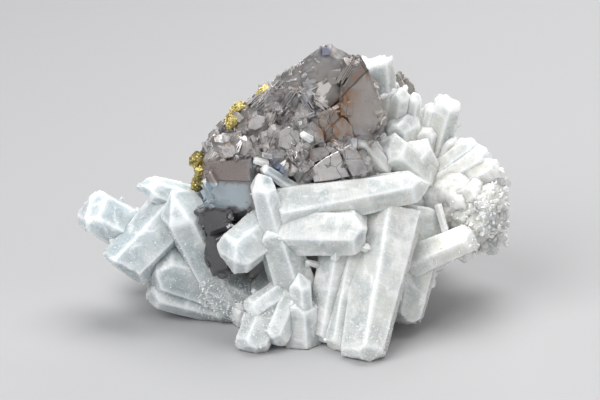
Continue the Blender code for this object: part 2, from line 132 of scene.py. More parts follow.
RIGHT_CRYSTALS = [
    ((108, -3, -32), (132, 112, 16), 44, 10, BLUNT),
    ((127, 24, -16), (134, 84, 8), 22, 0, POINTED),
    ((132, 48, 6), (146, 106, 18), 34, 20, BLUNT),
    ((178, 86, -20), (112, 58, -14), 32, 0, BLUNT),
    ((176, 61, 15), (150, 84, 30), 18, 0, BLUNT),
    ((151, 84, -14), (142, 116, 2), 9, 0, POINTED),
    ((76, 256, 62), (82, 170, 72), 43, 30, BROKEN),
    ((106, 234, 52), (92, 150, 60), 20, 0, POINTED),
    ((120, 229, 55), (110, 150, 60), 17, 20, POINTED),
    ((131, 217, 58), (122, 160, 60), 9, 0, POINTED),
    ((154, 222, 55), (128, 135, 60), 33, 10, BLUNT),
    ((140, 216, 56), (120, 140, 60), 22, 0, BLUNT),
    ((104, 204, 48), (112, 140, 56), 40, 10, BLUNT),
    ((134, 198, 54), (130, 140, 58), 34, 20, BLUNT),
    ((161, 184, 44), (130, 138, 50), 14, 0, POINTED),
    ((171, 180, 42), (132, 140, 50), 16, 10, BLUNT),
    ((181, 177, 34), (124, 132, 46), 25, 0, BLUNT),
    ((192, 169, 24), (122, 122, 40), 28, 12, BLUNT),
    ((202, 156, 16), (126, 112, 34), 26, 5, BLUNT),
    ((186, 134, 2), (126, 98, 28), 30, 20, BLUNT),
    ((90, 176, 8), (136, 136, 45), 38, 0, BLUNT),
    ((118, 176, 26), (140, 130, 50), 30, 0, BLUNT),
    ((58, 184, -24), (90, 152, 5), 18, 0, POINTED),
    ((63, 202, -14), (84, 165, 8), 10, 0, POINTED),
    ((82, 222, 42), (100, 229, 56), 7, 0, POINTED),
]
CRUST_ROOT = (162, 108, 46)
CRUST_TIPS = [
    ((213, 143, 24), 15), ((213, 131, 18), 13), ((212, 120, 12), 14), ((213, 108, 12), 15),
    ((210, 97, 12), 12), ((212, 87, 12), 13), ((213, 76, 14), 15), ((204, 70, 16), 14),
    ((193, 70, 14), 15), ((182, 67, 14), 16), ((200, 124, -4), 36), ((194, 98, -8), 38),
    ((176, 112, -12), 34), ((206, 112, 56), 24), ((208, 92, 48), 22), ((198, 128, 72), 24),
    ((190, 84, 80), 24),
]
# Crystals of the back and the rock under them, with x, y and z in grid steps.
BACK_CRYSTALS = [
    ((-150, 120, 62), (-40, 50, 70), 42, 0, BLUNT),
    ((-104, 142, 40), (0, 50, 60), 42, 20, POINTED),
    ((-28, 150, 92), (10, 50, 80), 46, 10, BLUNT),
    ((52, 152, 48), (40, 60, 60), 42, 0, POINTED),
    ((112, 148, 104), (70, 60, 90), 42, 15, POINTED),
    ((158, 128, 62), (90, 50, 70), 40, 0, BLUNT),
    ((-62, 126, 146), (0, 50, 90), 36, 10, POINTED),
    ((22, 142, 168), (40, 60, 100), 36, 0, BLUNT),
    ((134, 128, 158), (100, 60, 120), 36, 25, POINTED),
    ((178, 92, 124), (120, 60, 110), 36, 0, POINTED),
    ((-168, 78, 44), (-60, 50, 60), 40, 12, BLUNT),
    ((74, 128, 206), (80, 74, 140), 30, 0, POINTED),
]
ROCK_LUMPS = [
    ((-48, 52, 36), (68, 56, 58)),
    ((42, 60, 46), (80, 66, 70)),
    ((112, 66, 100), (62, 58, 74)),
    ((24, 14, 82), (66, 48, 56)),
    ((88, 72, 146), (44, 38, 60)),
    ((163, 42, 110), (48, 48, 52)),
    ((10, 46, 112), (62, 40, 40)),
]
PERCHED = [
    ("perched_quartz_white", (-42, 160, -38), (-28, 156, -36), 9),
    ("perched_quartz_oval", (6, 185, -52), (14, 180, -40), 8),
    ("perched_quartz_left", (-90, 141, -40), (-87, 135, -38), 8),
]


def place(spots: tuple | np.ndarray) -> np.ndarray:
    """Turn places as seen on display into x, y and z.

    Height is what is left of the rise on display once the part of it that comes from lying
    further back is taken off: (up - back * sin(tilt)) / cos(tilt).

    Args:
        spots: across, up and back along the last axis, in grid steps.

    Returns:
        x, y and z in grid steps, in the same order.
    """
    across, up, back = np.moveaxis(np.asarray(spots, float), -1, 0)
    height = (up - back * math.sin(DISPLAY_TILT)) / math.cos(DISPLAY_TILT)
    return np.stack([across, back, height], axis=-1)


def in_frame(points: np.ndarray) -> np.ndarray:
    """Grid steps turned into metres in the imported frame."""
    return points * GRID + FRAME_SHIFT


def on_display(points: np.ndarray) -> np.ndarray:
    """Turn places in the frame into across and up, as seen on display.

    Args:
        points: places in metres, shape (n, 3).

    Returns:
        Grid steps, shape (n, 2).
    """
    steps = (points - FRAME_SHIFT) / GRID
    up = steps[:, 2] * math.cos(DISPLAY_TILT) + steps[:, 1] * math.sin(DISPLAY_TILT)
    return np.stack([steps[:, 0], up], axis=1)


def toward_viewer(normals: np.ndarray) -> np.ndarray:
    """How far each normal faces the display side: minus its part along the line of sight."""
    return -(normals @ SIGHT)


def inside_oval(flat: np.ndarray, middle: tuple[float, float], radii: tuple[float, float]) -> np.ndarray:
    """Which display places lie in an upright oval."""
    return (((flat - np.array(middle)) / np.array(radii)) ** 2).sum(axis=1) < 1.0


def unit(vectors: np.ndarray) -> np.ndarray:
    """The same vectors at length one, along the last axis."""
    return vectors / np.linalg.norm(vectors, axis=-1, keepdims=True)


def cross_frame(axis: np.ndarray, roll: float) -> tuple[np.ndarray, np.ndarray]:
    """Find two directions square to an axis and to each other.

    Args:
        axis: a unit vector.
        roll: the turn about the axis, in degrees.

    Returns:
        The two unit vectors.
    """
    beside = np.array([1.0, 0.0, 0.0]) if abs(float(axis @ SIGHT)) > 0.95 else SIGHT
    first = unit(np.cross(axis, beside))
    second = np.cross(axis, first)
    turn = math.radians(roll)
    return (
        first * math.cos(turn) + second * math.sin(turn),
        second * math.cos(turn) - first * math.sin(turn),
    )


def smooth_step(part: np.ndarray) -> np.ndarray:
    """An eased step over values from 0 to 1: p * p * (3 - 2 p)."""
    return part * part * (3 - 2 * part)


def terraces(values: np.ndarray, flat: float, steepness: float) -> np.ndarray:
    """Turn a slow rise into level steps: floor(v) plus an eased step near the end of each.

    Args:
        values: the slow rise; a step is one unit.
        flat: the part of each step that stays level.
        steepness: one over the part in which it climbs.

    Returns:
        The stepped values.
    """
    level = np.floor(values)
    return level + smooth_step(np.clip((values - level - flat) * steepness, 0, 1))


def value_noise(points: np.ndarray, size: float, seed: int) -> np.ndarray:
    """Smooth noise in space: random values on a lattice, blended by a smooth step.

    Args:
        points: places, shape (..., 3).
        size: the lattice spacing, in the same unit as the points.
        seed: picks the lattice's values.

    Returns:
        Values from -1 to 1, one for each place.
    """
    cells = 32
    table = np.random.default_rng(seed).uniform(-1, 1, (cells, cells, cells))
    scaled = points / size
    low = np.floor(scaled).astype(int)
    part = smooth_step(scaled - low)
    total = np.zeros(points.shape[:-1])
    for corner in np.ndindex(2, 2, 2):
        weight = np.prod(np.where(np.array(corner) == 1, part, 1 - part), axis=-1)
        index = (low + np.array(corner)) % cells
        total += weight * table[index[..., 0], index[..., 1], index[..., 2]]
    return total


@dataclass
class PlaneSolid:
    """A convex solid bounded by planes: every point p with normals @ p <= offsets."""

    normals: np.ndarray
    offsets: np.ndarray
    softness: float
    rim_width: float = 1.7
    farthest: float = 1.0e4

    def reach(self, centres: np.ndarray, ways: np.ndarray) -> tuple[np.ndarray, np.ndarray]:
        """Distance from inside points to the rounded surface, along given directions.

        Each plane is met at (offset - normal . centre) / (normal . way). A soft minimum of
        those distances, -k log(sum(exp(-d / k))), rounds the edges by about k. The same sum
        with a wider k tells how near an edge is.

        Args:
            centres: points inside the solid, shape (..., 3).
            ways: unit directions, same shape.

        Returns:
            The distances, and a rim value from 0 on a face to 1 at an edge, shape (...).
        """
        along = ways @ self.normals.T
        room = self.offsets - centres @ self.normals.T
        distance = np.where(along > 0.02, room / np.maximum(along, 0.02), self.farthest)
        distance = np.clip(distance, 0.0, self.farthest)
        nearest = distance.min(axis=-1, keepdims=True)
        extra = np.exp(-(distance - nearest) / self.softness).sum(axis=-1)
        near = np.exp(-(distance - nearest) / self.rim_width).sum(axis=-1)
        return nearest[..., 0] - self.softness * np.log(extra), np.clip(np.log(near) / math.log(2), 0, 1)

    def touch(self, centre: np.ndarray, way: np.ndarray) -> np.ndarray:
        """Find the point of the surface that lies one way from a centre.

        Args:
            centre: a point inside.
            way: a unit direction.

        Returns:
            The point, at the ground or above it.
        """
        point = centre + way * self.reach(centre[None], way[None])[0]
        point[2] = max(point[2], 0.0)
        return point


def ring_faces(rings: int, around: int) -> np.ndarray:
    """Faces of a closed stack of rings with a point at each end.

    Args:
        rings: how many rings.
        around: corners of a ring. The two end points follow the last ring.

    Returns:
        Corner numbers, shape (n, 4); a triangle repeats its last corner.
    """
    row = np.arange(rings - 1)[:, None] * around
    turn = np.arange(around)
    after = (turn + 1) % around
    walls = np.stack([row + turn, row + after, row + around + after, row + around + turn], axis=-1)
    low = np.full(around, rings * around)
    top = (rings - 1) * around
    first = np.stack([after, turn, low, low], axis=-1)
    last = np.stack([top + turn, top + after, low + 1, low + 1], axis=-1)
    return np.concatenate([walls.reshape(-1, 4), first, last])


def repeated(quads: np.ndarray, count: int, step: int) -> np.ndarray:
    """Faces of many equal shapes, each shape's corners a step after those of the last."""
    return (quads[None] + (np.arange(count) * step)[:, None, None]).reshape(-1, 4)


@dataclass
class Grid:
    """A closed surface on a grid of rows and turns, with a point at each end."""

    rows: np.ndarray
    along: np.ndarray
    rim: np.ndarray
    first_pole: np.ndarray
    last_pole: np.ndarray

    def mesh_data(self) -> tuple[np.ndarray, np.ndarray, dict[str, np.ndarray]]:
        """Lay the grid out as vertices and faces.

        Returns:
            The vertices, the quads (a triangle repeats its last corner), and two values at
            every vertex: the distance along the axis and the nearness of an edge.
        """
        count, around, _ = self.rows.shape
        verts = np.concatenate([self.rows.reshape(-1, 3), self.first_pole[None], self.last_pole[None]])
        along = np.concatenate([np.repeat(self.along, around), self.along[[0, -1]]])
        rim = np.concatenate([self.rim.ravel(), [self.rim[0].mean(), self.rim[-1].mean()]])
        return verts, ring_faces(count, around), {"along": along, "rim": rim}


@dataclass
class QuartzCrystal:
    """One crystal: six uneven prism faces and a tip, rounded and marked by growth.

    A row of corners comes every row_step, relief scales all the marks, and the skin is sunk by
    so much before they are added. Lengths are in grid steps.
    """

    tip: np.ndarray
    root: np.ndarray
    width: float
    roll: float
    end: End
    seed: int
    row_step: float = 1.8
    relief: float = 1.0
    line_depth: float = 0.20
    wave_depth: float = 0.30
    hill_depth: float = 0.30
    shelf_depth: float = 0.55
    chip_depth: float = 0.8
    sunk: float = 0.3

    def solid(self) -> PlaneSolid:
        """The bounding planes, drawn with the same dice as the part's solids.

        Returns:
            The solid, with the ground as one more plane.
        """
        dice = np.random.default_rng(self.seed)
        axis = unit(self.tip - self.root)
        first, second = cross_frame(axis, self.roll)
        end = END_SHAPES[self.end]
        middle = (self.tip + self.root) / 2
        planes = [(-axis, self.root)]
        for side in range(6):
            turn = math.radians(60 * side)
            out = first * math.cos(turn) + second * math.sin(turn)
            lean = math.radians(dice.uniform(0.3, 3.4))
            reach = self.width / 2 * dice.uniform(0.82, 1.03)
            planes.append((out * math.cos(lean) + axis * math.sin(lean), middle + out * reach))
            if end.slope is not None:
                slope = math.radians(end.slope)
                stagger = 0.45 * self.width * dice.uniform(0.0, 1.0) * (side % 2)
                planes.append((out * math.cos(slope) + axis * math.sin(slope),
                               self.tip + axis * (stagger + end.lift * self.width)))
        for _ in range(end.cuts):
            cut = unit(axis + end.spread * (first * dice.uniform(-1, 1) + second * dice.uniform(-1, 1)))
            planes.append((cut, self.tip + axis * (end.set_beyond * self.width)))
        planes.append((np.array([0.0, 0.0, -1.0]), np.zeros(3)))
        normals = np.array([normal for normal, _ in planes])
        offsets = np.array([float(normal @ point) for normal, point in planes])
        return PlaneSolid(normals, offsets, 0.18 + 0.003 * self.width)

    def stations(self, length: float, inset: float) -> tuple[np.ndarray, np.ndarray]:
        """Where each row's centre stands on the axis, and how far its directions are raised.

        Args:
            length: the crystal's length.
            inset: how far from root and tip the centres stay.

        Returns:
            Distances from the root, and angles in radians: zero on the prism, and up to a
            right angle near either end.
        """
        body_rows = max(5, int((length - 2 * inset) / self.row_step))
        cap_rows = max(4, int(0.7 * self.width / self.row_step))
        body = np.linspace(inset, length - inset, body_rows)
        swing = np.linspace(0, 90, cap_rows + 1)[1:-1]
        stand = np.concatenate([np.full(cap_rows - 1, inset), body, np.full(cap_rows - 1, length - inset)])
        return stand, np.radians(np.concatenate([-swing[::-1], np.zeros(body_rows), swing]))

    def turns(self) -> np.ndarray:
        """Turns round the axis, crowded near the six edges by a power of 1.5.

        Returns:
            Angles in radians.
        """
        per_side = int(np.clip(self.width * 0.28, 5, 12))
        pull = np.linspace(-1, 1, per_side, endpoint=False) + 1 / per_side
        pull = np.sign(pull) * np.abs(pull) ** 1.5 * 30
        return np.radians((np.arange(6)[:, None] * 60 + 30 + pull[None, :]).ravel())

    def growth(self, points: np.ndarray, height: np.ndarray, spread: np.ndarray, turn: np.ndarray,
               level: np.ndarray, length: float) -> np.ndarray:
        """The relief: fine lines across the prism, slow waves, hillocks, shelves and chips.

        Each is a noise times its depth. The lines fade as the directions rise to the ends, the
        shelves are a slow noise cut into terraces, and the chips crowd at a worn or broken tip.

        Args:
            points: the plain surface.
            height: its distance along the axis.
            spread: its place across the axis, shape (..., 2).
            turn: its turns round the axis, in radians.
            level: 1 on the prism, 0 at the poles, shape (rows, 1).
            length: the crystal's length.

        Returns:
            The relief in grid steps.
        """
        wound = np.stack([height / 1.7, turn[None] * 1.2 + 0 * height, 0 * height], axis=-1)
        lines = value_noise(wound, 1.0, self.seed)
        waves = value_noise(points, 11.0, self.seed + 1)
        hills = np.clip(value_noise(points, 3.4, self.seed + 2), 0.1, 1)
        slow = np.concatenate([spread / 7.0, height[..., None] / 30.0], axis=-1)
        shelf = terraces(1.4 * value_noise(slow, 1.0, self.seed + 3), 0.40, 5)
        worn = 0.0 if self.end is End.POINTED else 1.0
        ragged = worn * np.clip((height - length + 0.40 * self.width) / (0.30 * self.width), 0, 1)
        chips = value_noise(points, 2.8, self.seed + 4) + 0.6 * value_noise(points, 5.5, self.seed + 5)
        return (self.line_depth * lines * level + self.wave_depth * waves + self.hill_depth * hills
                + self.shelf_depth * shelf + self.chip_depth * ragged * chips)

    def surface(self) -> Grid:
        """The crystal's skin as a grid of rows along the axis and turns round it.

        A row's centre moves along the axis with the direction square to it, then stays near
        the tip while the direction swings up to the axis, and the same at the root. The skin
        is at centre + direction * (reach + relief), and never under the ground.

        Returns:
            The grid, in grid steps.
        """
        axis = unit(self.tip - self.root)
        length = float(np.linalg.norm(self.tip - self.root))
        first, second = cross_frame(axis, self.roll)
        inset = min(0.5 * self.width, 0.42 * length)
        stand, rise = self.stations(length, inset)
        turn = self.turns()
        out = np.cos(turn)[:, None] * first + np.sin(turn)[:, None] * second
        ways = np.cos(rise)[:, None, None] * out[None] + np.sin(rise)[:, None, None] * axis
        centres = np.broadcast_to(self.root + stand[:, None, None] * axis, ways.shape)
        solid = self.solid()
        distance, rim = solid.reach(centres, ways)
        plain = centres + ways * distance[..., None]
        height = (plain - self.root) @ axis
        relief = self.growth(plain, height, plain @ np.column_stack([first, second]), turn,
                             np.cos(rise)[:, None], length)
        points = centres + ways * (distance + self.relief * (relief - self.sunk))[..., None]
        points[..., 2] = np.maximum(points[..., 2], 0.0)
        return Grid(points, height.mean(axis=1), rim, solid.touch(self.root + inset * axis, -axis),
                    solid.touch(self.tip - inset * axis, axis))


@dataclass
class RockLump:
    """A broken lump of quartz rock: planes that touch an ellipsoid, rounded and rough.

    The skin is sunk by so much before its relief is added. Lengths are in grid steps.
    """

    centre: np.ndarray
    radii: np.ndarray
    seed: int
    faces: int = 26
    rows: int = 74
    around: int = 130
    softness: float = 1.2
    swell_depth: float = 1.8
    rough_depth: float = 1.0
    step_depth: float = 1.7
    sunk: float = 1.6

    def solid(self) -> PlaneSolid:
        """Spread the planes over a sphere by the golden angle, each a little off its place.

        Returns:
            The solid, with the ground as one more plane.
        """
        dice = np.random.default_rng(self.seed)
        index = np.arange(self.faces) + 0.5
        lift = 1 - 2 * index / self.faces
        turn = index * math.pi * (3 - math.sqrt(5))
        ring = np.sqrt(1 - lift**2)
        normals = np.stack([ring * np.cos(turn), ring * np.sin(turn), lift], axis=1)
        normals = unit(normals + dice.normal(0, 0.16, normals.shape))
        reach = np.linalg.norm(normals * self.radii, axis=1) * dice.uniform(0.86, 1.0, self.faces)
        offsets = np.concatenate([normals @ self.centre + reach, [0.0]])
        return PlaneSolid(np.concatenate([normals, [[0.0, 0.0, -1.0]]]), offsets, self.softness)

    def surface(self) -> Grid:
        """The lump's skin: centre + direction * (reach + relief) over a sphere of directions.

        The relief is a swell, a rougher noise and a slow noise cut into terraces.

        Returns:
            The grid, in grid steps.
        """
        tilt = np.radians(np.linspace(-90, 90, self.rows + 2)[1:-1])
        spin = np.radians(np.linspace(0, 360, self.around, endpoint=False))
        ways = np.stack([np.cos(tilt)[:, None] * np.cos(spin), np.cos(tilt)[:, None] * np.sin(spin),
                         np.sin(tilt)[:, None] + 0 * spin], axis=-1)
        centres = np.broadcast_to(self.centre, ways.shape)
        solid = self.solid()
        distance, rim = solid.reach(centres, ways)
        plain = centres + ways * distance[..., None]
        steps = terraces(2.2 * value_noise(plain * (1.0, 1.0, 1.6), 16.0, self.seed + 2), 0.35, 4)
        relief = (self.swell_depth * value_noise(plain, 9.0, self.seed)
                  + self.rough_depth * value_noise(plain, 4.2, self.seed + 1) + self.step_depth * steps)
        points = centres + ways * (distance + relief - self.sunk)[..., None]
        points[..., 2] = np.maximum(points[..., 2], 0.0)
        up = np.array([0.0, 0.0, 1.0])
        return Grid(points, np.zeros(self.rows), rim, solid.touch(self.centre, -up),
                    solid.touch(self.centre, up))


def new_object(name: str, verts: np.ndarray, quads: np.ndarray, layers: dict[str, np.ndarray],
               faceted: bool = False) -> bpy.types.Object:
    """Make a mesh object from arrays.

    Args:
        name: the piece's name.
        verts: places in metres, in the frame.
        quads: corner numbers, shape (n, 4); a triangle repeats its last corner.
        layers: values to keep at every vertex, by name.
        faceted: whether every face is shaded flat.

    Returns:
        The new object, linked to the scene.
    """
    data = bpy.data.meshes.new(name)
    triangle = quads[:, 2] == quads[:, 3]
    sizes = np.where(triangle, 3, 4)
    starts = np.concatenate([[0], np.cumsum(sizes)[:-1]])
    keep = np.ones(quads.shape, bool)
    keep[triangle, 3] = False
    corners = quads[keep]
    data.vertices.add(len(verts))
    data.vertices.foreach_set("co", verts.astype(np.float32).ravel())
    data.loops.add(len(corners))
    data.loops.foreach_set("vertex_index", corners.astype(np.int32))
    data.polygons.add(len(quads))
    data.polygons.foreach_set("loop_start", starts.astype(np.int32))
    for layer, values in layers.items():
        store = data.attributes.new(layer, "FLOAT", "POINT")
        store.data.foreach_set("value", values.astype(np.float32))
    data.update(calc_edges=True)
    data.validate()
    if faceted:
        data.shade_flat()
    thing = bpy.data.objects.new(name, data)
    bpy.context.scene.collection.objects.link(thing)
    return thing


def soften(piece: bpy.types.Object) -> None:
    """Shade a piece smooth, but for its sharp edges."""
    piece.data.shade_smooth()
    piece.data.set_sharp_from_angle(angle=math.radians(SHARP_ANGLE))


def join_skins(name: str, things: list[bpy.types.Object]) -> bpy.types.Object:
    """Unite closed meshes into one skin with no walls inside.

    Args:
        name: the name of the piece.
        things: the closed meshes, which are used up.

    Returns:
        The united piece.
    """
    body = things[0]
    group = bpy.data.collections.new("skins")
    bpy.context.scene.collection.children.link(group)
    for other in things[1:]:
        group.objects.link(other)
    modifier = body.modifiers.new("join", "BOOLEAN")
    modifier.operation = "UNION"
    modifier.operand_type = "COLLECTION"
    modifier.collection = group
    modifier.solver = "MANIFOLD"
    graph = bpy.context.evaluated_depsgraph_get()
    result = bpy.data.meshes.new_from_object(body.evaluated_get(graph))
    result.materials.clear()
    body.modifiers.clear()
    body.data = result
    for other in things[1:]:
        bpy.data.objects.remove(other)
    bpy.data.collections.remove(group)
    body.name = name
    body.data.name = name
    return body


def dress_node(node: bpy.types.Object, finish: bpy.types.Material) -> None:
    """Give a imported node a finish, in all its material slots."""
    for held in node.material_slots:
        held.material = finish


def dress_piece(piece: bpy.types.Object, finish: bpy.types.Material) -> None:
    """Give a new piece its finish, tie it to the body and report it.

    Args:
        piece: the new piece.
        finish: its material.
    """
    piece.data.materials.append(finish)
    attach(piece, "root")
    log.info("%s: %d faces", piece.name, len(piece.data.polygons))


@dataclass
class QuartzGroup:
    """A sub-assembly of the cluster: crystals and lumps grown together into one skin."""

    name: str
    crystals: list[QuartzCrystal] = field(default_factory=list)
    lumps: list[RockLump] = field(default_factory=list)

    def build(self) -> bpy.types.Object:
        """Join the skins of the members into one closed skin.

        Returns:
            The piece, undressed.
        """
        things = []
        for number, member in enumerate(self.lumps + self.crystals):
            verts, quads, layers = member.surface().mesh_data()
            layers["tone"] = np.full(len(verts), np.random.default_rng(number + 77).uniform(0, 1))
            things.append(new_object(f"{self.name}_{number}", in_frame(verts), quads, layers))
        piece = join_skins(self.name, things)
        soften(piece)
        return piece


def face_spots(thing: bpy.types.Object, count: int, seed: int) -> tuple[np.ndarray, np.ndarray]:
    """Draw places on an object's triangles, evenly over its area.

    A place is a + u (b - a) + v (c - a) with u + v at most one.

    Args:
        thing: a mesh object at the origin.
        count: how many places.
        seed: seeds the dice.

    Returns:
        Places and outward normals.
    """
    dice = np.random.default_rng(seed)
    data = thing.data
    data.calc_loop_triangles()
    corners = np.empty(len(data.loop_triangles) * 3, np.int32)
    data.loop_triangles.foreach_get("vertices", corners)
    places = np.empty(len(data.vertices) * 3)
    data.vertices.foreach_get("co", places)
    triangles = places.reshape(-1, 3)[corners.reshape(-1, 3)]
    cross = np.cross(triangles[:, 1] - triangles[:, 0], triangles[:, 2] - triangles[:, 0])
    areas = np.linalg.norm(cross, axis=1)
    chosen = dice.choice(len(areas), count, p=areas / areas.sum())
    u, v = dice.uniform(0, 1, (2, count, 1))
    over = (u + v) > 1
    u, v = np.where(over, 1 - u, u), np.where(over, 1 - v, v)
    a, b, c = triangles[chosen, 0], triangles[chosen, 1], triangles[chosen, 2]
    return a + u * (b - a) + v * (c - a), unit(cross[chosen])


@dataclass(frozen=True)
class OreLattice:
    """The tetrahedral directions that the ore's crystals share, in a few twinned turns."""

    twins: tuple[int, ...] = (11, 23, 42)

    def directions(self) -> np.ndarray:
        """Both senses of the four directions of each twin.

        Returns:
            Unit vectors, shape (twins, 8, 3); the last four are the first four reversed.
        """
        faces = np.array([(1, 1, 1), (1, -1, -1), (-1, 1, -1), (-1, -1, 1)]) / math.sqrt(3)
        turns = []
        for twin in self.twins:
            square, _ = np.linalg.qr(np.random.default_rng(twin).normal(size=(3, 3)))
            turns.append(faces @ (square * np.sign(np.linalg.det(square))).T)
        turned = np.stack(turns)
        return np.concatenate([turned, -turned], axis=1)


@dataclass
class StepStacks:
    """Stepped crystals of ore: triangular plates stacked along a shared lattice.

    widest and narrowest bound how far a plate reaches and foot is how deep the lowest one is
    sunk, as parts of a stack's size. side_lean is the tangent of the lean of a plate's sides,
    which is that of a tetrahedron's faces.
    """

    levels: int = 6
    widest: float = 0.56
    narrowest: float = 0.04
    foot: float = 0.30
    side_lean: float = 0.354
    lattice: OreLattice = OreLattice()

    def build(self, name: str, spots: np.ndarray, normals: np.ndarray, sizes: np.ndarray,
              seed: int) -> bpy.types.Object:
        """Carry a cut-cornered triangle up each stack, stepping in at every plate.

        Ring k of a stack is middle + axis * height(k) + outline * radius(k), all stacks at
        once. The outline is a triangle with its corners cut, drawn out along one side, and
        every plate drifts a little to one side.

        Args:
            name: the piece's name.
            spots: places on the ore, in metres.
            normals: outward directions there.
            sizes: plate sizes in metres.
            seed: seeds the dice.

        Returns:
            The piece.
        """
        dice = np.random.default_rng(seed)
        count = len(spots)
        axis, first, second = self.axes(dice, normals)
        heights, radii = self.profile(dice, count)
        lead = unit(dice.normal(size=(count, 1, 2))) * dice.uniform(0.02, 0.10, (count, 1, 1))
        steps = lead + dice.uniform(-0.03, 0.03, (count, self.levels, 2))
        drift = np.repeat(np.cumsum(steps, axis=1), 2, axis=1)
        drift = np.concatenate([drift[:, :1], drift], axis=1)
        cut = dice.uniform(6, 26, (count, 3))
        corner = np.radians(np.stack([k * 120 + side * cut[:, k]
                                      for k in range(3) for side in (-1, 1)], axis=1))
        wide = np.sqrt(1 + 3.2 * dice.power(0.6, count) ** 2)[:, None, None]
        x = (np.cos(corner)[:, None, :] * radii[..., None] + drift[..., :1]) * wide
        y = (np.sin(corner)[:, None, :] * radii[..., None] + drift[..., 1:]) / wide
        points = spots[:, None, None, :] + sizes[:, None, None, None] * (
            x[..., None] * first[:, None, None, :] + y[..., None] * second[:, None, None, :]
            + heights[:, :, None, None] * axis[:, None, None, :])
        rings = points.shape[1]
        caps = np.stack([points[:, 0].mean(axis=1), points[:, -1].mean(axis=1)], axis=1)
        verts = np.concatenate([points.reshape(count, -1, 3), caps], axis=1)
        step = verts.shape[1]
        tone = np.repeat(dice.uniform(0, 1, count), step)
        return new_object(name, verts.reshape(-1, 3), repeated(ring_faces(rings, 6), count, step),
                          {"tone": tone}, faceted=True)

    def axes(self, dice: np.random.Generator,
             normals: np.ndarray) -> tuple[np.ndarray, np.ndarray, np.ndarray]:
        """Pick for each stack a lattice direction that points out of the surface.

        Args:
            dice: the stacks' dice.
            normals: outward directions of the surface.

        Returns:
            The stacks' axes and two directions square to them, the first in the lattice too.
        """
        count = len(normals)
        twins = self.lattice.directions()
        faces = twins[dice.integers(0, len(twins), count)]
        ranked = np.argsort(-np.einsum("nij,nj->ni", faces, normals), axis=1)
        row = np.arange(count)
        best = ranked[row, np.where(dice.uniform(0, 1, count) < 0.8, 0, 1)]
        axis = faces[row, best]
        other = faces[row, (best + 1) % 4 + np.where(best >= 4, 4, 0)]
        first = unit(other - axis * np.sum(other * axis, axis=1, keepdims=True))
        return axis, first, np.cross(axis, first)

    def profile(self, dice: np.random.Generator, count: int) -> tuple[np.ndarray, np.ndarray]:
        """Heights and radii of the rings: each plate rises, leans in and steps in.

        Args:
            dice: the stacks' dice.
            count: how many stacks.

        Returns:
            Heights and radii as parts of a stack's size, shape (count, rings).
        """
        rises = dice.uniform(0.015, 0.060, (count, self.levels))
        tops = np.cumsum(rises, axis=1)
        reach = self.widest - np.cumsum(dice.uniform(0.02, 0.10, (count, self.levels)), axis=1)
        reach = np.maximum(reach, self.narrowest)
        feet = np.concatenate([np.full((count, 1), -self.foot), tops[:, :-1]], axis=1)
        foot_reach = reach + self.side_lean * (tops - feet)
        heights = np.stack([feet, tops], axis=2).reshape(count, -1)
        radii = np.stack([foot_reach, reach], axis=2).reshape(count, -1)
        heights = np.concatenate([heights[:, :1] - 0.1, heights], axis=1)
        radii = np.concatenate([radii[:, :1] * 0.8, radii], axis=1)
        return heights, radii


@dataclass
class Lamellae:
    """Sheaves of thin parallel blades, as twinned ore shows them edge on."""

    blades: int = 7
    lattice: OreLattice = OreLattice()

    def lying(self, normals: np.ndarray, seed: int) -> tuple[np.ndarray, np.ndarray]:
        """Pick directions for sheaves that follow the lattice.

        The blades of a sheaf follow one another along a lattice direction that lies nearly
        flat in the surface, and each stands up along the surface's normal.

        Args:
            normals: outward directions of the surface.
            seed: seeds the dice.

        Returns:
            The directions along the blades and the directions in which they stand.
        """
        dice = np.random.default_rng(seed)
        count = len(normals)
        twins = self.lattice.directions()[:, :4]
        faces = twins[dice.integers(0, len(twins), count)]
        flat = np.argsort(np.abs(np.einsum("nij,nj->ni", faces, normals)), axis=1)
        pile = faces[np.arange(count), flat[np.arange(count), dice.integers(0, 2, count)]]
        along = unit(np.cross(pile, normals))
        stand = unit(np.cross(along, pile))
        return along, stand * np.sign(np.sum(stand * normals, axis=1, keepdims=True))

    def build(self, name: str, spots: np.ndarray, along: np.ndarray, stand: np.ndarray,
              lengths: np.ndarray, seed: int) -> bpy.types.Object:
        """Lay a sheaf of blades at each spot, all sheaves at once.

        Blade k sits at spot + side * (k - middle) * pitch + along * slide, where side is
        square to the blades' length and to the direction in which they stand.

        Args:
            name: the piece's name.
            spots: places on the ore, in metres.
            along: the direction of the blades' length at each spot.
            stand: the direction in which they stand up.
            lengths: blade lengths in metres.
            seed: seeds the dice.

        Returns:
            The piece.
        """
        dice = np.random.default_rng(seed)
        count = len(spots)
        pile = np.cross(stand, along)
        number = np.arange(self.blades) - (self.blades - 1) / 2
        pitch = lengths[:, None] * dice.uniform(0.05, 0.08, (count, 1))
        slide = lengths[:, None] * dice.uniform(-0.18, 0.18, (count, self.blades))
        places = (spots[:, None] + pile[:, None] * (number * pitch)[..., None]
                  + along[:, None] * slide[..., None])
        size = np.stack([lengths[:, None] * dice.uniform(0.5, 1.0, (count, self.blades)),
                         pitch * dice.uniform(0.7, 1.0, (count, self.blades)),
                         lengths[:, None] * dice.uniform(0.03, 0.10, (count, self.blades))], axis=2)
        return scatter(name, little_blade(), places.reshape(-1, 3), np.repeat(stand, self.blades, axis=0),
                       size.reshape(-1, 3), seed + 1, np.repeat(along, self.blades, axis=0))


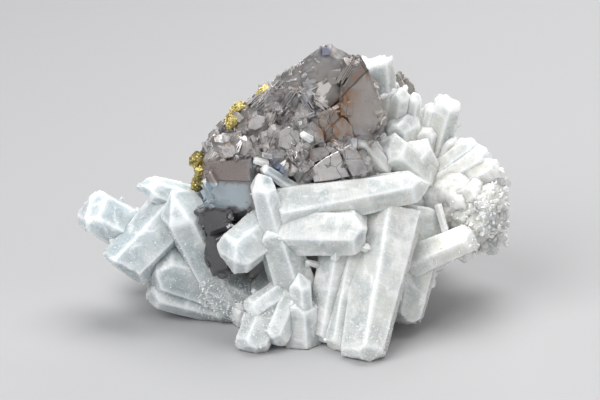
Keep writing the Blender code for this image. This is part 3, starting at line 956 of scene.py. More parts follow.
@dataclass
class FlatPlates:
    """Smooth flat plates of ore that lie on the mass, each an uneven six-sided slab.

    rim is the size of the front face as a part of the plate's, bevel and foot are how far the
    edge and the foot lie behind that face, and proud is how far it stands before the ore. Ore
    counts for a plate's place if it is near on display and in the front layer there, and no
    plate is steeper than steepest. Lengths are in grid steps.
    """

    rim: float = 0.93
    bevel: float = 0.8
    foot: float = 12.0
    proud: float = 2.2
    near: float = 10.0
    layer: float = 7.0
    steepest: float = 0.45

    def build(self, name: str, outlines: np.ndarray, host: bpy.types.Object, seed: int) -> bpy.types.Object:
        """Lay every plate on the plane that fits the front of the ore behind it best.

        Three rings give the slab: a foot sunk in the ore, the edge, and a slightly smaller
        face in front. A corner lies at base + slope . (corner - middle) behind the display.

        Args:
            name: the piece's name.
            outlines: corners on display, in grid steps, shape (n, 6, 2).
            host: the ore.
            seed: seeds the dice.

        Returns:
            The piece.
        """
        middles = outlines.mean(axis=1)
        base, slope = self.planes(middles, host, seed)
        rings = []
        for scale, sink in ((1.0, self.foot), (1.0, self.bevel), (self.rim, 0.0)):
            away = (outlines - middles[:, None]) * scale
            depth = base[:, None] + np.einsum("nki,ni->nk", away, slope) + sink
            rings.append(np.concatenate([middles[:, None] + away, depth[..., None]], axis=2))
        points = np.stack(rings, axis=1)
        ends = np.stack([points[:, 0].mean(axis=1), points[:, -1].mean(axis=1)], axis=1)
        verts = place(np.concatenate([points.reshape(len(points), -1, 3), ends], axis=1))
        count, step, _ = verts.shape
        tone = np.repeat(np.random.default_rng(seed).uniform(0.1, 0.9, count), step)
        return new_object(name, in_frame(verts.reshape(-1, 3)), repeated(ring_faces(3, 6), count, step),
                          {"tone": tone}, faceted=True)

    def planes(self, middles: np.ndarray, host: bpy.types.Object, seed: int) -> tuple[np.ndarray, np.ndarray]:
        """Fit a plane to the front layer of the ore around each plate's middle.

        It is a least squares fit of back = base + slope . (place - middle), held back a little
        from steep slopes.

        Args:
            middles: the plates' middles on display, in grid steps.
            host: the ore.
            seed: seeds the dice.

        Returns:
            The bases, shape (n,), and the slopes, shape (n, 2).
        """
        spots, normals = face_spots(host, 16000, seed)
        spots = spots[toward_viewer(normals) > 0.2]
        back = (spots[:, 1] - FRAME_SHIFT[1]) / GRID
        apart = on_display(spots)[None] - middles[:, None]
        near = ((apart**2).sum(axis=2) < self.near**2) & (back < 0.0)[None]
        front = np.where(near, back[None], np.inf).min(axis=1)
        used = (near & (back[None] < front[:, None] + self.layer)).astype(float)
        sums = np.concatenate([np.ones_like(apart[..., :1]), apart], axis=2)
        left = np.einsum("nk,nki,nkj->nij", used, sums, sums) + np.diag([0.01, 400.0, 400.0])
        fit = np.linalg.solve(left, np.einsum("nk,nki,k->ni", used, sums, back)[..., None])[..., 0]
        return fit[:, 0] - self.proud, np.clip(fit[:, 1:], -self.steepest, self.steepest)


def scatter(name: str, shape: tuple[np.ndarray, np.ndarray], spots: np.ndarray, axes: np.ndarray,
            sizes: np.ndarray, seed: int, asides: np.ndarray | None = None) -> bpy.types.Object:
    """Set many copies of a small shape on a surface, joined in one mesh.

    A copy's corner is spot + size * (x * first + y * second + z * axis), with first and
    second square to the axis, as given or turned at random about it.

    Args:
        name: the piece's name.
        shape: corners of the small shape, its axis along z and its size one, and its faces.
        spots: a place for each copy.
        axes: the direction of each copy's axis.
        sizes: a size for each copy, in metres, shape (n, 3).
        seed: seeds the dice.
        asides: the direction of each copy's x, or None for a random one.

    Returns:
        The piece.
    """
    corners, quads = shape
    dice = np.random.default_rng(seed)
    count = len(spots)
    aside = unit(np.cross(axes, unit(dice.normal(size=(count, 3))))) if asides is None else asides
    second = np.cross(axes, aside)
    scaled = corners[None] * sizes[:, None, :]
    points = (spots[:, None] + scaled[..., :1] * aside[:, None] + scaled[..., 1:2] * second[:, None]
              + scaled[..., 2:] * axes[:, None])
    tone = np.repeat(dice.uniform(0, 1, count), len(corners))
    return new_object(name, points.reshape(-1, 3), repeated(quads, count, len(corners)),
                      {"tone": tone}, faceted=True)


def little_crystal() -> tuple[np.ndarray, np.ndarray]:
    """A four-sided prism with a pyramid on top, three quarters as wide as tall.

    Returns:
        Its corners and faces.
    """
    turn = np.radians(np.arange(4) * 90)
    ring = np.stack([0.38 * np.cos(turn), 0.30 * np.sin(turn)], axis=1)
    low = np.concatenate([ring, np.full((4, 1), -0.45)], axis=1)
    high = np.concatenate([ring, np.full((4, 1), 0.40)], axis=1)
    ends = np.array([(0.0, 0.0, -0.5), (0.05, 0.0, 0.75)])
    return np.concatenate([low, high, ends]), ring_faces(2, 4)


def little_blade() -> tuple[np.ndarray, np.ndarray]:
    """A thin box one unit long, wide and tall, its top drawn in, its foot sunk below zero.

    Returns:
        Its corners and faces.
    """
    corners = np.array([(-0.5, -0.5), (0.5, -0.5), (0.5, 0.5), (-0.5, 0.5)])
    rings = [np.column_stack([corners * (long, wide), np.full(4, height)])
             for long, wide, height in ((1.0, 1.0, -3.0), (1.0, 1.0, 0.5), (0.86, 0.55, 1.0))]
    ends = np.array([(0.0, 0.0, -3.0), (0.0, 0.0, 1.0)])
    return np.concatenate([*rings, ends]), ring_faces(3, 4)


def little_grain() -> tuple[np.ndarray, np.ndarray]:
    """A blocky grain: two five-sided rings, the upper one turned and smaller, and end points.

    Returns:
        Its corners and faces.
    """
    turn = np.radians(np.arange(5) * 72)
    low = np.stack([0.5 * np.cos(turn), 0.5 * np.sin(turn), np.full(5, -0.25)], axis=1)
    high = np.stack([0.40 * np.cos(turn + 0.5), 0.40 * np.sin(turn + 0.5), np.full(5, 0.3)], axis=1)
    ends = np.array([(0.0, 0.0, -0.5), (0.05, 0.02, 0.45)])
    return np.concatenate([low, high, ends]), ring_faces(2, 5)


@dataclass
class Sheet:
    """A material's nodes, added one call at a time. Places are Object coordinates in metres."""

    name: str

    def __post_init__(self) -> None:
        """Start a material that holds one shader and its output."""
        self.material = bpy.data.materials.new(self.name)
        self.material.use_nodes = True
        self.tree = self.material.node_tree
        self.shader = self.tree.nodes["Principled BSDF"]

    @cached_property
    def where(self) -> Socket:
        """The place in the frame."""
        return self.add("TexCoord").outputs["Object"]

    @cached_property
    def across(self) -> Socket:
        """How far to the right."""
        return self.add("SeparateXYZ", ("Vector", self.where)).outputs["X"]

    @cached_property
    def back(self) -> Socket:
        """How far from the viewer."""
        return self.add("SeparateXYZ", ("Vector", self.where)).outputs["Y"]

    @cached_property
    def up(self) -> Socket:
        """How far up as seen on display.

        Returns:
            The place's part along UPWARD.
        """
        node = self.add("VectorMath", (0, self.where), operation="DOT_PRODUCT")
        node.inputs[1].default_value = tuple(UPWARD)
        return node.outputs["Value"]

    def add(self, kind: str, *links: tuple, **values: object) -> bpy.types.Node:
        """Add a node, link sockets to it and set its values.

        Args:
            kind: the node's type, without the usual prefix.
            links: pairs of input (name or number) and the output socket to link.
            values: node properties, or inputs where the name starts with in_.

        Returns:
            The node.
        """
        node = self.tree.nodes.new("ShaderNode" + kind)
        for key, value in values.items():
            if key.startswith("in_"):
                node.inputs[key[3:].replace("_", " ")].default_value = value
            else:
                setattr(node, key, value)
        for where, socket in links:
            self.tree.links.new(socket, node.inputs[where])
        return node

    def feed(self, node: bpy.types.Node, *values: tuple) -> None:
        """Fill inputs of a node.

        Args:
            node: the node.
            values: pairs of an input's number and a socket, a number or a colour.
        """
        for slot, value in values:
            if isinstance(value, Socket):
                self.tree.links.new(value, node.inputs[slot])
            else:
                node.inputs[slot].default_value = (*value, 1.0) if isinstance(value, tuple) else value

    def vertex_value(self, layer: str) -> Socket:
        """A value kept at every vertex of the piece."""
        return self.add("Attribute", attribute_name=layer).outputs["Fac"]

    def noise(self, scale: float, detail: float, at: Socket | None = None, **values: float) -> Socket:
        """Fractal noise.

        Args:
            scale: lattice cells in a metre, or in a unit of the coordinates given.
            detail: how many finer layers.
            at: other coordinates than the place.
            values: other inputs of the node.

        Returns:
            The value.
        """
        at = self.where if at is None else at
        return self.add("TexNoise", ("Vector", at), in_Scale=scale, in_Detail=detail, **values).outputs["Fac"]

    def ramp(self, fac: Socket, *stops: tuple[float, float]) -> Socket:
        """Turn a value into another by straight lines between stops.

        Args:
            fac: the value.
            stops: pairs of a value and what it becomes.

        Returns:
            The new value, as a grey.
        """
        node = self.add("ValToRGB", ("Fac", fac))
        for element, (position, grey) in zip(node.color_ramp.elements, stops, strict=True):
            element.position = position
            element.color = (grey, grey, grey, 1.0)
        return node.outputs["Color"]

    def mix(self, fac: Socket | float, a: Socket | Colour, b: Socket | Colour, blend: str = "MIX") -> Socket:
        """Mix two colours.

        Args:
            fac: the share of the second.
            a: the first colour.
            b: the second.
            blend: how they mix.

        Returns:
            The colour.
        """
        node = self.add("Mix", data_type="RGBA", blend_type=blend)
        self.feed(node, (0, fac), (6, a), (7, b))
        return node.outputs[2]

    def bump(self, height: Socket, strength: float, distance: float, below: Socket | None = None) -> Socket:
        """Bump the surface.

        Args:
            height: the relief.
            strength: the bump's strength.
            distance: metres for a height of one.
            below: another bump that this one lies on.

        Returns:
            The normal.
        """
        links = [("Height", height)] + ([("Normal", below)] if below is not None else [])
        return self.add("Bump", *links, in_Strength=strength, in_Distance=distance).outputs["Normal"]

    def math(self, operation: str, a: Socket | float, b: Socket | float = 0.0) -> Socket:
        """Work out one operation on two values.

        Args:
            operation: its name.
            a: the first value.
            b: the second.

        Returns:
            The result.
        """
        node = self.add("Math", operation=operation)
        self.feed(node, (0, a), (1, b))
        return node.outputs[0]

    def plus(self, *terms: Socket | float) -> Socket:
        """The sum of values."""
        return reduce(partial(self.math, "ADD"), terms)

    def times(self, *factors: Socket | float) -> Socket:
        """The product of values."""
        return reduce(partial(self.math, "MULTIPLY"), factors)

    def step(self, value: Socket, start: float, end: float) -> Socket:
        """A step from 0 to 1 as a value goes from start to end."""
        return self.add("MapRange", ("Value", value), in_From_Min=start, in_From_Max=end).outputs[0]

    def window(self, *edges: tuple[Socket, float, float]) -> Socket:
        """The product of steps, so 1 only where every value is past its end."""
        return self.times(*(self.step(*edge) for edge in edges))

    def spot(self, middle: tuple[float, float], radius: float) -> Socket:
        """A round soft patch on display, from the distance sqrt(across^2 + up^2).

        Args:
            middle: its place across and up.
            radius: where it ends.

        Returns:
            A value, 1 inside half the radius and 0 outside it.
        """
        squares = [self.math("POWER", self.math("SUBTRACT", value, centre), 2.0)
                   for value, centre in zip((self.across, self.up), middle)]
        return self.step(self.math("POWER", self.plus(*squares), 0.5), radius, radius * 0.5)

    def shade(self, colour: Socket | tuple, roughness: Socket | float, normal: Socket | None = None,
              **values: float | tuple) -> bpy.types.Material:
        """Link the shader's inputs and set its constant values.

        Args:
            colour: the base colour.
            roughness: its roughness.
            normal: the bumped normal, if any.
            values: other inputs of the shader, with _ for a space.

        Returns:
            The material.
        """
        for name, value in (("Base Color", colour), ("Roughness", roughness), ("Normal", normal)):
            if isinstance(value, Socket):
                self.tree.links.new(value, self.shader.inputs[name])
            elif value is not None:
                self.shader.inputs[name].default_value = value
        for key, value in values.items():
            self.shader.inputs[key.replace("_", " ")].default_value = value
        return self.material


@dataclass(frozen=True)
class MilkyQuartz:
    """Milky quartz: cloudy white, cool on the left, warm on the right, frosted."""

    name: str = "milky_quartz"
    cool: Colour = (0.45, 0.52, 0.545)
    warm: Colour = (0.72, 0.71, 0.655)
    milk: Colour = (0.62, 0.67, 0.69)
    cream: Colour = (0.81, 0.80, 0.76)
    glassy: Colour = (0.36, 0.425, 0.445)
    white: Colour = (0.94, 0.955, 0.96)
    # white serves the veils and specks, and the painted highlight along the crystals' edges.
    smoke: Colour = (0.24, 0.30, 0.34)
    depth: float = 0.0035
    inner: float = 0.95
    frost: float = 0.24

    def material(self) -> bpy.types.Material:
        """Build the material.

        Returns:
            A milky body with clouds, veils and specks, growth lines along each crystal, a painted
            highlight that whitens the edges, and frost.
        """
        sheet = Sheet(self.name)
        along, tone, rim = (sheet.vertex_value(layer) for layer in ("along", "tone", "rim"))
        side = sheet.step(sheet.across, -0.035, 0.040)
        milky = sheet.ramp(sheet.noise(160.0, 5.0), (0.36, 0.0), (0.66, 1.0))
        body = sheet.mix(milky, sheet.mix(side, self.cool, self.warm), sheet.mix(side, self.milk, self.cream))
        clear = sheet.ramp(sheet.noise(240.0, 3.0, in_Distortion=0.5), (0.36, 0.4), (0.52, 0.0))
        veil = sheet.ramp(sheet.noise(300.0, 8.0, in_Distortion=1.2), (0.52, 0.0), (0.68, 0.6))
        speck = sheet.ramp(sheet.noise(2400.0, 2.0), (0.60, 0.0), (0.68, 0.5))
        for share, colour in ((clear, self.glassy), (veil, self.white), (speck, self.white)):
            body = sheet.mix(share, body, colour)
        body = sheet.mix(1.0, body, sheet.ramp(tone, (0.0, 0.90), (1.0, 1.0)), "MULTIPLY")
        body = sheet.mix(self.smoky_part(sheet), body, self.smoke)
        # Painted highlight: the body is mixed toward white near each crystal's edges.
        body = sheet.mix(sheet.times(rim, 0.75), body, self.white)
        lined = sheet.add("CombineXYZ", ("X", sheet.times(along, 0.9)), ("Y", sheet.times(tone, 40.0)))
        lines = sheet.noise(1.0, 4.0, lined.outputs[0])
        body = sheet.mix(1.0, body, sheet.ramp(lines, (0.35, 0.93), (0.60, 1.0)), "MULTIPLY")
        frost = sheet.noise(1500.0, 4.0)
        rough = sheet.ramp(frost, (0.35, self.frost), (0.70, self.frost + 0.22))
        normal = sheet.bump(lines, 0.35, 0.00014)
        normal = sheet.bump(frost, 0.35, 0.00014, normal)
        normal = sheet.bump(sheet.noise(5200.0, 3.0), 0.22, 0.00005, normal)
        return sheet.shade(body, rough, normal, IOR=1.544, Subsurface_Weight=self.inner,
                           Subsurface_Scale=self.depth, Subsurface_Radius=(0.9, 1.0, 1.1))

    def smoky_part(self, sheet: Sheet) -> Socket:
        """Find the blue-grey crystal at the foot of the ore.

        Args:
            sheet: the material's nodes.

        Returns:
            A value, 0.8 on it and 0 elsewhere.
        """
        inside = sheet.window((sheet.across, -0.0058, -0.0050), (sheet.across, 0.0016, 0.0010),
                              (sheet.back, -0.0060, -0.0070),
                              (sheet.up, 0.0256, 0.0262), (sheet.up, 0.0300, 0.0296))
        return sheet.times(inside, 0.8)


@dataclass(frozen=True)
class SugarySparkle:
    """Sugary quartz: bright little crystals, each a shade of white."""

    name: str = "sugary_quartz"
    dull: Colour = (0.90, 0.92, 0.92)
    bright: Colour = (1.0, 1.0, 1.0)

    def material(self) -> bpy.types.Material:
        """Build the material.

        Returns:
            White with a shade for each crystal, here glossy and there frosted.
        """
        sheet = Sheet(self.name)
        body = sheet.mix(sheet.vertex_value("tone"), self.dull, self.bright)
        return sheet.shade(body, sheet.ramp(sheet.noise(1500.0, 2.0), (0.3, 0.10), (0.7, 0.35)), IOR=1.544)


@dataclass(frozen=True)
class GreyOre:
    """Sphalerite: grey and almost metallic, brown and rusty at the upper right.

    fissure is up minus across along the fissure. peak, plate, foot and worn_plate are places
    across and up on display. All are in metres.
    """

    name: str = "sphalerite"
    dark: Colour = (0.18, 0.173, 0.176)
    pale: Colour = (0.62, 0.595, 0.585)
    rust: Colour = (0.30, 0.16, 0.085)
    brown: Colour = (0.27, 0.215, 0.18)
    plain: Colour = (0.40, 0.36, 0.335)
    haze: Colour = (0.30, 0.35, 0.45)
    bloom: Colour = (0.045, 0.05, 0.09)
    pink: Colour = (0.28, 0.235, 0.22)
    fleck: Colour = (0.30, 0.215, 0.15)
    slate: Colour = (0.46, 0.53, 0.58)
    bright: Colour = (0.34, 0.32, 0.305)
    black: Colour = (0.03, 0.03, 0.034)
    # Painted glints: the lighter stripes on the black crystals of the left block.
    glint: Colour = (0.11, 0.11, 0.12)
    fissure: float = 0.0334
    peak: tuple[float, float] = (0.0064, 0.0518)
    plate: tuple[float, float] = (0.0066, 0.0460)
    foot: tuple[float, float] = (-0.0034, 0.0280)
    worn_plate: tuple[float, float] = (0.0060, 0.0445)

    def material(self) -> bpy.types.Material:
        """Build the material.

        Returns:
            Bright faces with fine parallel stripes and thin cracks, hazes of colour, a brown
            striped part over a fissure with rust beside it at the upper right, and a pinkish
            band over a slate-blue face on the left block.
        """
        sheet = Sheet(self.name)
        tone = sheet.vertex_value("tone")
        ragged = sheet.times(sheet.math("SUBTRACT", sheet.noise(500.0, 5.0), 0.5), 0.003)
        which = sheet.plus(sheet.noise(110.0, 0.0), sheet.times(tone, 0.5))
        which = sheet.ramp(sheet.math("FRACT", sheet.times(which, 3.0)), (0.48, 0.0), (0.52, 1.0))
        wave = sheet.mix(which, self.stripes(sheet, (0.5, 0.9, 0.4)), self.stripes(sheet, (1.3, -0.5, 1.1)))
        body = self.faces(sheet, tone, wave)
        body = self.upper_right(sheet, body, ragged, wave)
        body = self.patches(sheet, body)
        body = self.left_block(sheet, body, ragged, wave)
        cracks = sheet.times(self.cracks(sheet),
                             sheet.window((sheet.across, -0.0060, 0.0), (sheet.up, 0.0385, 0.0360)))
        body = sheet.mix(sheet.times(cracks, 0.75), body, self.black)
        pick = sheet.ramp(sheet.noise(260.0, 2.0), (0.46, 0.0), (0.56, 1.0))
        rough = sheet.ramp(sheet.noise(900.0, 5.0), (0.35, 0.27), (0.68, 0.42))
        dull = sheet.math("MAXIMUM", sheet.spot(self.peak, 0.0034), sheet.spot(self.worn_plate, 0.0044))
        rough = sheet.mix(dull, rough, (0.52, 0.52, 0.52))
        normal = sheet.bump(sheet.times(wave, pick), 0.35, 0.00007)
        fine = sheet.math("SUBTRACT", sheet.noise(2600.0, 5.0), cracks)
        return sheet.shade(body, rough, sheet.bump(fine, 0.30, 0.00006, normal), IOR=2.37, Metallic=0.6)

    def stripes(self, sheet: Sheet, turn: tuple[float, float, float]) -> Socket:
        """Fine uneven stripes.

        Args:
            sheet: the material's nodes.
            turn: the turn of their axis, in radians.

        Returns:
            A value from 0 to 1.
        """
        turned = sheet.add("Mapping", ("Vector", sheet.where), in_Rotation=turn).outputs[0]
        return sheet.add("TexWave", ("Vector", turned), in_Scale=1000.0, in_Distortion=3.0, in_Detail=4.0,
                         in_Detail_Scale=1.4).outputs["Fac"]

    def faces(self, sheet: Sheet, tone: Socket, wave: Socket) -> Socket:
        """The greys of the faces: mottled, a shade for each crystal, with hazes and brown flecks.

        Args:
            sheet: the material's nodes.
            tone: each crystal's shade.
            wave: parallel stripes.

        Returns:
            The colour.
        """
        mixed = sheet.plus(sheet.times(sheet.noise(420.0, 6.0), 0.75), sheet.times(tone, 0.40),
                           sheet.times(wave, 0.08))
        body = sheet.mix(sheet.ramp(mixed, (0.30, 0.0), (0.74, 1.0)), self.dark, self.pale)
        haze = sheet.ramp(sheet.noise(150.0, 3.0, in_Distortion=0.6), (0.58, 0.0), (0.74, 0.6))
        flecks = sheet.ramp(sheet.noise(620.0, 6.0, in_Distortion=0.8), (0.56, 0.0), (0.66, 0.7))
        return sheet.mix(flecks, sheet.mix(haze, body, self.haze), self.fleck)

    def upper_right(self, sheet: Sheet, body: Socket, ragged: Socket, wave: Socket) -> Socket:
        """The fissure that rises at 45 degrees: brown stripes over it, a plain face under it.

        Args:
            sheet: the material's nodes.
            body: the colour so far.
            ragged: a small irregular shift.
            wave: parallel stripes.

        Returns:
            The colour.
        """
        across, up = sheet.across, sheet.up
        rise = sheet.math("SUBTRACT", sheet.math("SUBTRACT", up, across), self.fissure)
        rise = sheet.plus(rise, sheet.times(ragged, 0.25))
        near = sheet.math("ABSOLUTE", rise)
        reach = sheet.window((across, 0.0092, 0.0102), (up, 0.036, 0.038))
        over = sheet.times(reach, sheet.step(rise, -0.0002, 0.0003), 0.75)
        under = sheet.times(reach, sheet.step(rise, 0.0002, -0.0003), 0.8)
        halo = sheet.times(reach, sheet.step(near, 0.0026, 0.0006))
        low = sheet.window((sheet.plus(across, ragged), 0.0040, 0.0060),
                           (sheet.plus(up, ragged), 0.0335, 0.0355),
                           (rise, 0.0010, -0.0010), (across, 0.0140, 0.0100))
        stain = sheet.ramp(sheet.noise(330.0, 7.0, in_Distortion=1.0), (0.42, 0.0), (0.60, 0.9))
        stain = sheet.times(stain, sheet.math("MAXIMUM", halo, low))
        split = sheet.times(reach, sheet.window((near, 0.00035, 0.00012), (across, 0.0158, 0.0150)), 0.85)
        layers = ((over, sheet.mix(wave, self.brown, self.dark)), (under, self.plain),
                  (sheet.times(low, 0.6), self.brown), (stain, self.rust), (split, self.black))
        for share, colour in layers:
            body = sheet.mix(share, body, colour)
        return body

    def patches(self, sheet: Sheet, body: Socket) -> Socket:
        """Soft patches on the display side: a bright plate, a dark peak and a blue foot.

        Args:
            sheet: the material's nodes.
            body: the colour so far.

        Returns:
            The colour.
        """
        front = sheet.step(sheet.back, 0.001, -0.001)
        for middle, radius, colour in ((self.plate, 0.0042, self.bright), (self.peak, 0.0015, self.bloom),
                                       (self.foot, 0.0024, self.haze)):
            body = sheet.mix(sheet.times(sheet.spot(middle, radius), front), body, colour)
        return body

    def left_block(self, sheet: Sheet, body: Socket, ragged: Socket, wave: Socket) -> Socket:
        """The left block: a pinkish band, a slate-blue face, and below, black crystals striped with painted
        glints.

        Args:
            sheet: the material's nodes.
            body: the colour so far.
            ragged: a small irregular shift of the borders.
            wave: parallel stripes.

        Returns:
            The colour.
        """
        up = sheet.plus(sheet.up, ragged)
        left = sheet.step(sheet.plus(sheet.across, ragged), -0.0085, -0.0095)
        for colour, foot, top in ((self.pink, (0.0255, 0.0263), (0.0310, 0.0300)),
                                  (self.slate, (0.0208, 0.0214), (0.0263, 0.0255))):
            body = sheet.mix(sheet.times(left, sheet.window((up, *foot), (up, *top))), body, colour)
        low = sheet.times(left, sheet.step(up, 0.0214, 0.0206), 0.9)
        # Painted glints: the black crystals are striped with the lighter glint grey along the wave.
        return sheet.mix(low, body, sheet.mix(wave, self.black, self.glint))

    def cracks(self, sheet: Sheet) -> Socket:
        """Thin lines between uneven cells of about 3 mm, bent by noise.

        Args:
            sheet: the material's nodes.

        Returns:
            A value, 1 in a crack.
        """
        bent = sheet.add("TexNoise", ("Vector", sheet.where), in_Scale=300.0, in_Detail=3.0).outputs["Color"]
        bent = sheet.add("VectorMath", (0, bent), operation="SCALE", in_Scale=0.0008).outputs[0]
        moved = sheet.add("VectorMath", (0, sheet.where), (1, bent), operation="ADD").outputs[0]
        cells = sheet.add("TexVoronoi", ("Vector", moved), feature="DISTANCE_TO_EDGE", in_Scale=240.0)
        line = sheet.ramp(cells.outputs["Distance"], (0.006, 1.0), (0.020, 0.0))
        return sheet.times(line, sheet.ramp(sheet.noise(220.0, 2.0), (0.48, 0.0), (0.54, 1.0)))


@dataclass(frozen=True)
class BrassyGrain:
    """Chalcopyrite: granular brassy yellow with greenish and brown tarnish."""

    name: str = "chalcopyrite"
    bright: Colour = (0.92, 0.79, 0.38)
    tarnish: Colour = (0.46, 0.39, 0.14)

    def material(self) -> bpy.types.Material:
        """Build the material.

        Returns:
            Mottled metal with a shade for each grain and a fine grit.
        """
        sheet = Sheet(self.name)
        mottle = sheet.noise(1400.0, 5.0)
        mixed = sheet.plus(sheet.times(mottle, 0.7), sheet.times(sheet.vertex_value("tone"), 0.4))
        body = sheet.mix(sheet.ramp(mixed, (0.35, 0.0), (0.65, 1.0)), self.tarnish, self.bright)
        return sheet.shade(body, sheet.ramp(mottle, (0.3, 0.25), (0.7, 0.5)),
                           sheet.bump(sheet.noise(5000.0, 3.0), 0.5, 0.00008), Metallic=0.9)


@dataclass
class Quartz:
    """The quartz cluster, modelled again in groups of crystals."""

    finish: bpy.types.Material

    def groups(self) -> list[QuartzGroup]:
        """Form the cluster's groups, with the dice numbers of the part's solids.

        Returns:
            The five groups.
        """
        shown = [QuartzCrystal(place(tip), place(root), width, roll, end, 100 + i)
                 for i, (tip, root, width, roll, end)
                 in enumerate(LEFT_CRYSTALS + CENTRE_CRYSTALS + RIGHT_CRYSTALS)]
        left = len(LEFT_CRYSTALS)
        right = left + len(CENTRE_CRYSTALS)
        crust = [QuartzCrystal(place(tip), place(CRUST_ROOT), width, 17 * i,
                               BLUNT if i % 3 else POINTED, 200 + i, relief=1.8)
                 for i, (tip, width) in enumerate(CRUST_TIPS)]
        back = [QuartzCrystal(np.array(tip, float), np.array(root, float), width, roll, end, 300 + i)
                for i, (tip, root, width, roll, end) in enumerate(BACK_CRYSTALS)]
        rock = [RockLump(np.array(middle, float), np.array(radii, float), 400 + i)
                for i, (middle, radii) in enumerate(ROCK_LUMPS)]
        return [QuartzGroup("quartz_left", shown[:left]), QuartzGroup("quartz_centre", shown[left:right]),
                QuartzGroup("quartz_right", shown[right:]), QuartzGroup("quartz_crust", crust),
                QuartzGroup("quartz_back", back, rock)]

    def build(self) -> list[bpy.types.Object]:
        """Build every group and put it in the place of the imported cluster.

        Returns:
            The pieces.
        """
        pieces = [group.build() for group in self.groups()]
        for piece in pieces:
            dress_piece(piece, self.finish)
            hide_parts("quartz_cluster")
        return pieces

    def perched(self) -> None:
        """Model the small crystals that sit on the ore."""
        for name, tip, root, width in PERCHED:
            crystal = QuartzCrystal(place(tip), place(root), width, 0, BLUNT, 800, row_step=1.0, relief=0.4)
            verts, quads, layers = crystal.surface().mesh_data()
            piece = new_object(name + "_skin", in_frame(verts), quads, layers)
            soften(piece)
            dress_piece(piece, self.finish)
            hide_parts(name)


# Parts of the ore kept free of stepped crystals, as (middle, radii) on display, in grid steps.
SMOOTH_FACES = [
    ((68, 224), (17, 32)),
    ((-62, 137), (26, 30)),
    ((36, 246), (16, 20)),
    ((34, 154), (20, 13)),
    ((58, 160), (16, 15)),
    ((70, 178), (15, 26)),
    ((22, 166), (11, 8)),
    ((46, 190), (12, 12)),
    ((16, 187), (11, 11)),
    ((-8, 182), (12, 11)),
    ((-38, 197), (9, 7)),
    ((-78, 70), (16, 26)),
]
# Flat plates as corners (across, up) on display, in grid steps, anticlockwise.
PLATES = [
    [(15, 152), (18, 138), (34, 140), (53, 144), (42, 169), (30, 163)],
    [(44, 170), (50, 155), (56, 144), (72, 148), (66, 161), (56, 177)],
    [(12, 171), (14, 155), (22, 159), (32, 165), (38, 171), (30, 174)],
    [(4, 192), (7, 182), (16, 174), (28, 178), (27, 189), (16, 198)],
    [(-18, 187), (-19, 174), (-8, 170), (4, 175), (3, 189), (-8, 193)],
    [(35, 199), (36, 186), (44, 178), (57, 182), (56, 193), (47, 202)],
    [(-47, 198), (-47, 191), (-40, 189), (-31, 194), (-30, 202), (-38, 204)],
]
# Long sheaves as (across, up, turn in degrees, length), all as seen on display, in grid steps.
SHEAVES = [
    (-30, 183, 68, 32), (9, 174, -60, 15), (15, 171, 62, 11), (9, 161, -58, 15), (-8, 224, 53, 21),
    (10, 222, -58, 26), (-36, 224, 42, 34), (-26, 232, 44, 22), (54, 246, 60, 28), (-11, 160, 38, 9),
    (-5, 158, -45, 10), (27, 205, -40, 15), (-52, 178, 70, 16), (-62, 184, 20, 15), (44, 212, 50, 16),
    (22, 214, -35, 16), (-44, 166, 12, 14), (2, 204, 30, 14), (-22, 204, 64, 18), (30, 178, 40, 12),
]
# Sugary patches on the quartz, as (middle, radii, count, largest crystal in metres) on display.
SUGAR_PATCHES = [
    ((-72, 26), (28, 20), 1300, 0.00045),
    ((-60, 4), (40, 26), 500, 0.00045),
    ((-40, 8), (24, 34), 600, 0.00042),
    ((-150, 60), (50, 34), 500, 0.00036),
    ((21, 26), (5, 14), 160, 0.00050),
    ((70, -22), (36, 22), 420, 0.00040),
    ((160, 84), (22, 14), 420, 0.00040),
    ((176, 112), (40, 56), 1900, 0.00045),
    ((150, 160), (56, 60), 500, 0.00042),
    ((30, 112), (100, 26), 120, 0.00036),
    ((60, 40), (90, 80), 120, 0.00036),
    ((-150, 90), (80, 70), 120, 0.00036),
]
# Patches of larger points, which make the scalloped crust at the right and the low clusters.
DRUSE_PATCHES = [
    ((194, 98), (26, 40), 320, 0.0015),
    ((208, 120), (12, 50), 90, 0.0015),
    ((-70, 22), (34, 24), 90, 0.0007),
    ((-40, -6), (30, 22), 40, 0.0008),
    ((152, 66), (28, 22), 40, 0.0007),
]


